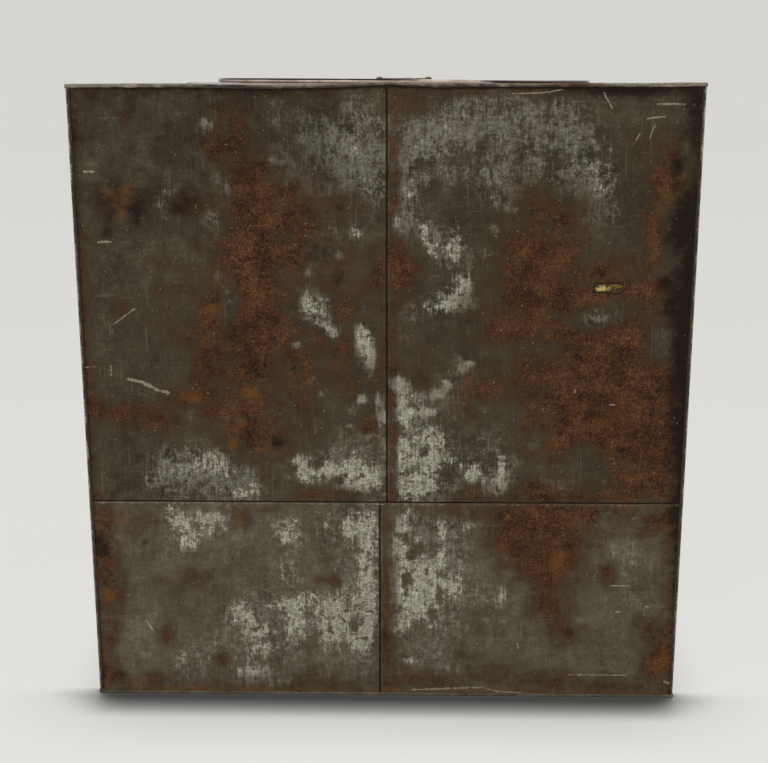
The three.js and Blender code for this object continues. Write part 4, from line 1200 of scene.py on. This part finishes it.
def finish_nodes(names, material):
    """A carried-over CAD node gets the material in its own slots."""
    for name in names:
        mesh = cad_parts[name].data
        if not mesh.materials:
            mesh.materials.append(material)
        for i in range(len(mesh.materials)):
            mesh.materials[i] = material


finish_nodes([f"base_{a}_{b}" for a in ("back", "front") for b in ("left", "right")], DULL_TIN)
finish_nodes(["handle_strap", "handle_rivet_left", "handle_rivet_right"], FADED_RED)
finish_nodes(["bail"], WORN_IRON)


# Floor, world, light and camera

# The floor in metres: the point its tone spreads from, its reach, and the foot's half width as the shadow meets it
FLOOR_MIDDLE = (0, -0.6, 0)
FLOOR_REACH = 60.0
FLOOR_SIDES = 64
BESIDE = (0.235, 0.265)
BEFORE = (0.238, 0.258)
# How far the shadow reaches close by the foot and further off, and the samples that find it
CLOSE_REACH = 0.045
WIDE_REACH = 0.11
SHADE_SAMPLES = 16
# The pale studio: the light's strength and colour, and the backdrop that the camera sees
WORLD_STRENGTH = 0.62
WORLD_LIGHT = (1.0, 0.99, 0.97, 1.0)
BACKDROP = "#d6d5d1"
# The point the lights aim at
AIM = Vector((0, 0, 0.25))


def make_floor():
    """A wide pale floor. The camera sees it at an even level, with the object's shadow close to its foot."""
    g = Graph("pale_floor")
    away = g.vector("DISTANCE", g.place, FLOOR_MIDDLE)["Value"]
    far = g.math("LOGARITHM", g.math("MAXIMUM", away, 0.2), 10.0)
    tones = [(0.16, "#e5e4e0"), (0.3, "#e2e1dd"), (0.42, "#dfdeda"), (0.55, "#dbdad6"), (0.8, "#d7d6d2")]
    tint = g.ramp(g.math("MULTIPLY_ADD", far, 0.4, 0.4), tones)
    spot = g.node("SeparateXYZ", {0: g.place}).outputs
    beside = g.step(g.math("ABSOLUTE", spot["X"]), *BESIDE)
    before = g.step(g.math("ABSOLUTE", spot["Y"]), *BEFORE)

    def closeness(reach, power):
        node = g.node("AmbientOcclusion", {"Distance": reach}, samples=SHADE_SAMPLES)
        return g.math("POWER", node.outputs["AO"], power)

    close = closeness(CLOSE_REACH, g.math("MULTIPLY_ADD", before, g.blend(beside, 4.8, 2.6), 0.3))
    contact = g.times(close, closeness(WIDE_REACH, g.times(before, 0.8)))
    shaded = g.mix(1.0, tint, contact, "MULTIPLY")
    diffuse = g.node("BsdfDiffuse", {"Color": tint})
    glow = g.node("Emission", {"Color": shaded})
    path = g.node("LightPath").outputs
    seen = g.math("MAXIMUM", path["Is Camera Ray"], path["Is Glossy Ray"])
    share = g.times(seen, g.blend(g.step(away, 0.7, 1.6), 0.96, 1.0))
    mixed = g.node("MixShader", {0: share, 1: diffuse.outputs[0], 2: glow.outputs[0]})
    g.put(g.output.inputs["Surface"], mixed.outputs[0])
    mesh = bpy.data.meshes.new("floor")
    angles = [math.tau * i / FLOOR_SIDES for i in range(FLOOR_SIDES)]
    ring = [(FLOOR_REACH * math.cos(a), FLOOR_REACH * math.sin(a), 0.0) for a in angles]
    mesh.from_pydata(ring, [], [list(range(FLOOR_SIDES))])
    mesh.materials.append(g.material)
    floor = bpy.data.objects.new("floor", mesh)
    bpy.context.scene.collection.objects.link(floor)


def make_world():
    """Even pale light from all round. The camera sees a pale backdrop."""
    world = bpy.data.worlds.new("studio")
    bpy.context.scene.world = world
    world.use_nodes = True
    tree = world.node_tree
    background = tree.nodes["Background"]
    path, mixed, backdrop, seen = (
        tree.nodes.new(f"ShaderNode{kind}") for kind in ("LightPath", "MixShader", "Background", "Math")
    )
    backdrop.inputs["Color"].default_value = colour(BACKDROP)
    background.inputs["Color"].default_value = WORLD_LIGHT
    background.inputs["Strength"].default_value = WORLD_STRENGTH
    seen.operation = "MAXIMUM"
    for source, target in (
        (path.outputs["Is Camera Ray"], seen.inputs[0]),
        (path.outputs["Is Transmission Ray"], seen.inputs[1]),
        (seen.outputs[0], mixed.inputs[0]),
        (background.outputs[0], mixed.inputs[1]),
        (backdrop.outputs[0], mixed.inputs[2]),
        (mixed.outputs[0], tree.nodes["World Output"].inputs["Surface"]),
    ):
        tree.links.new(source, target)


def make_light(name, place, size, power):
    lamp = bpy.data.lights.new(name, "AREA")
    lamp.shape, lamp.size, lamp.energy = "DISK", size, power
    light = bpy.data.objects.new(name, lamp)
    light.location = place
    light.rotation_euler = (AIM - Vector(place)).to_track_quat("-Z", "Y").to_euler()
    bpy.context.scene.collection.objects.link(light)


# The camera, fitted to the wall's four corners in the photograph
CAMERA_PLACE = (0.0195, -1.251, 0.520)
CAMERA_PITCH = 13.42
CAMERA_YAW = 1.15
CAMERA_ROLL = -0.057
FOCAL_PIXELS = 1256.0
PHOTO_WIDTH = 768
SENSOR_WIDTH = 36.0


def make_camera():
    pitch, yaw, roll = (math.radians(a) for a in (CAMERA_PITCH, CAMERA_YAW, CAMERA_ROLL))
    ahead = Vector((-math.sin(yaw) * math.cos(pitch), math.cos(yaw) * math.cos(pitch), -math.sin(pitch)))
    right = Vector((math.cos(yaw), math.sin(yaw), 0.0))
    up = right.cross(ahead)
    right, up = (
        right * math.cos(roll) + up * math.sin(roll),
        up * math.cos(roll) - right * math.sin(roll),
    )
    data = bpy.data.cameras.new("camera")
    data.sensor_width = SENSOR_WIDTH
    data.lens = data.sensor_width * FOCAL_PIXELS / PHOTO_WIDTH
    camera = bpy.data.objects.new("camera", data)
    turn = Matrix((right, up, -ahead)).transposed().to_4x4()
    camera.matrix_world = Matrix.Translation(CAMERA_PLACE) @ turn
    bpy.context.scene.collection.objects.link(camera)
    bpy.context.scene.camera = camera


make_floor()
make_world()
make_light("key", place=(-1.4, -2.4, 2.4), size=1.8, power=60)
make_light("fill", place=(1.8, 1.6, 2.2), size=1.6, power=25)
make_camera()
bpy.context.scene.view_settings.view_transform = "Standard"
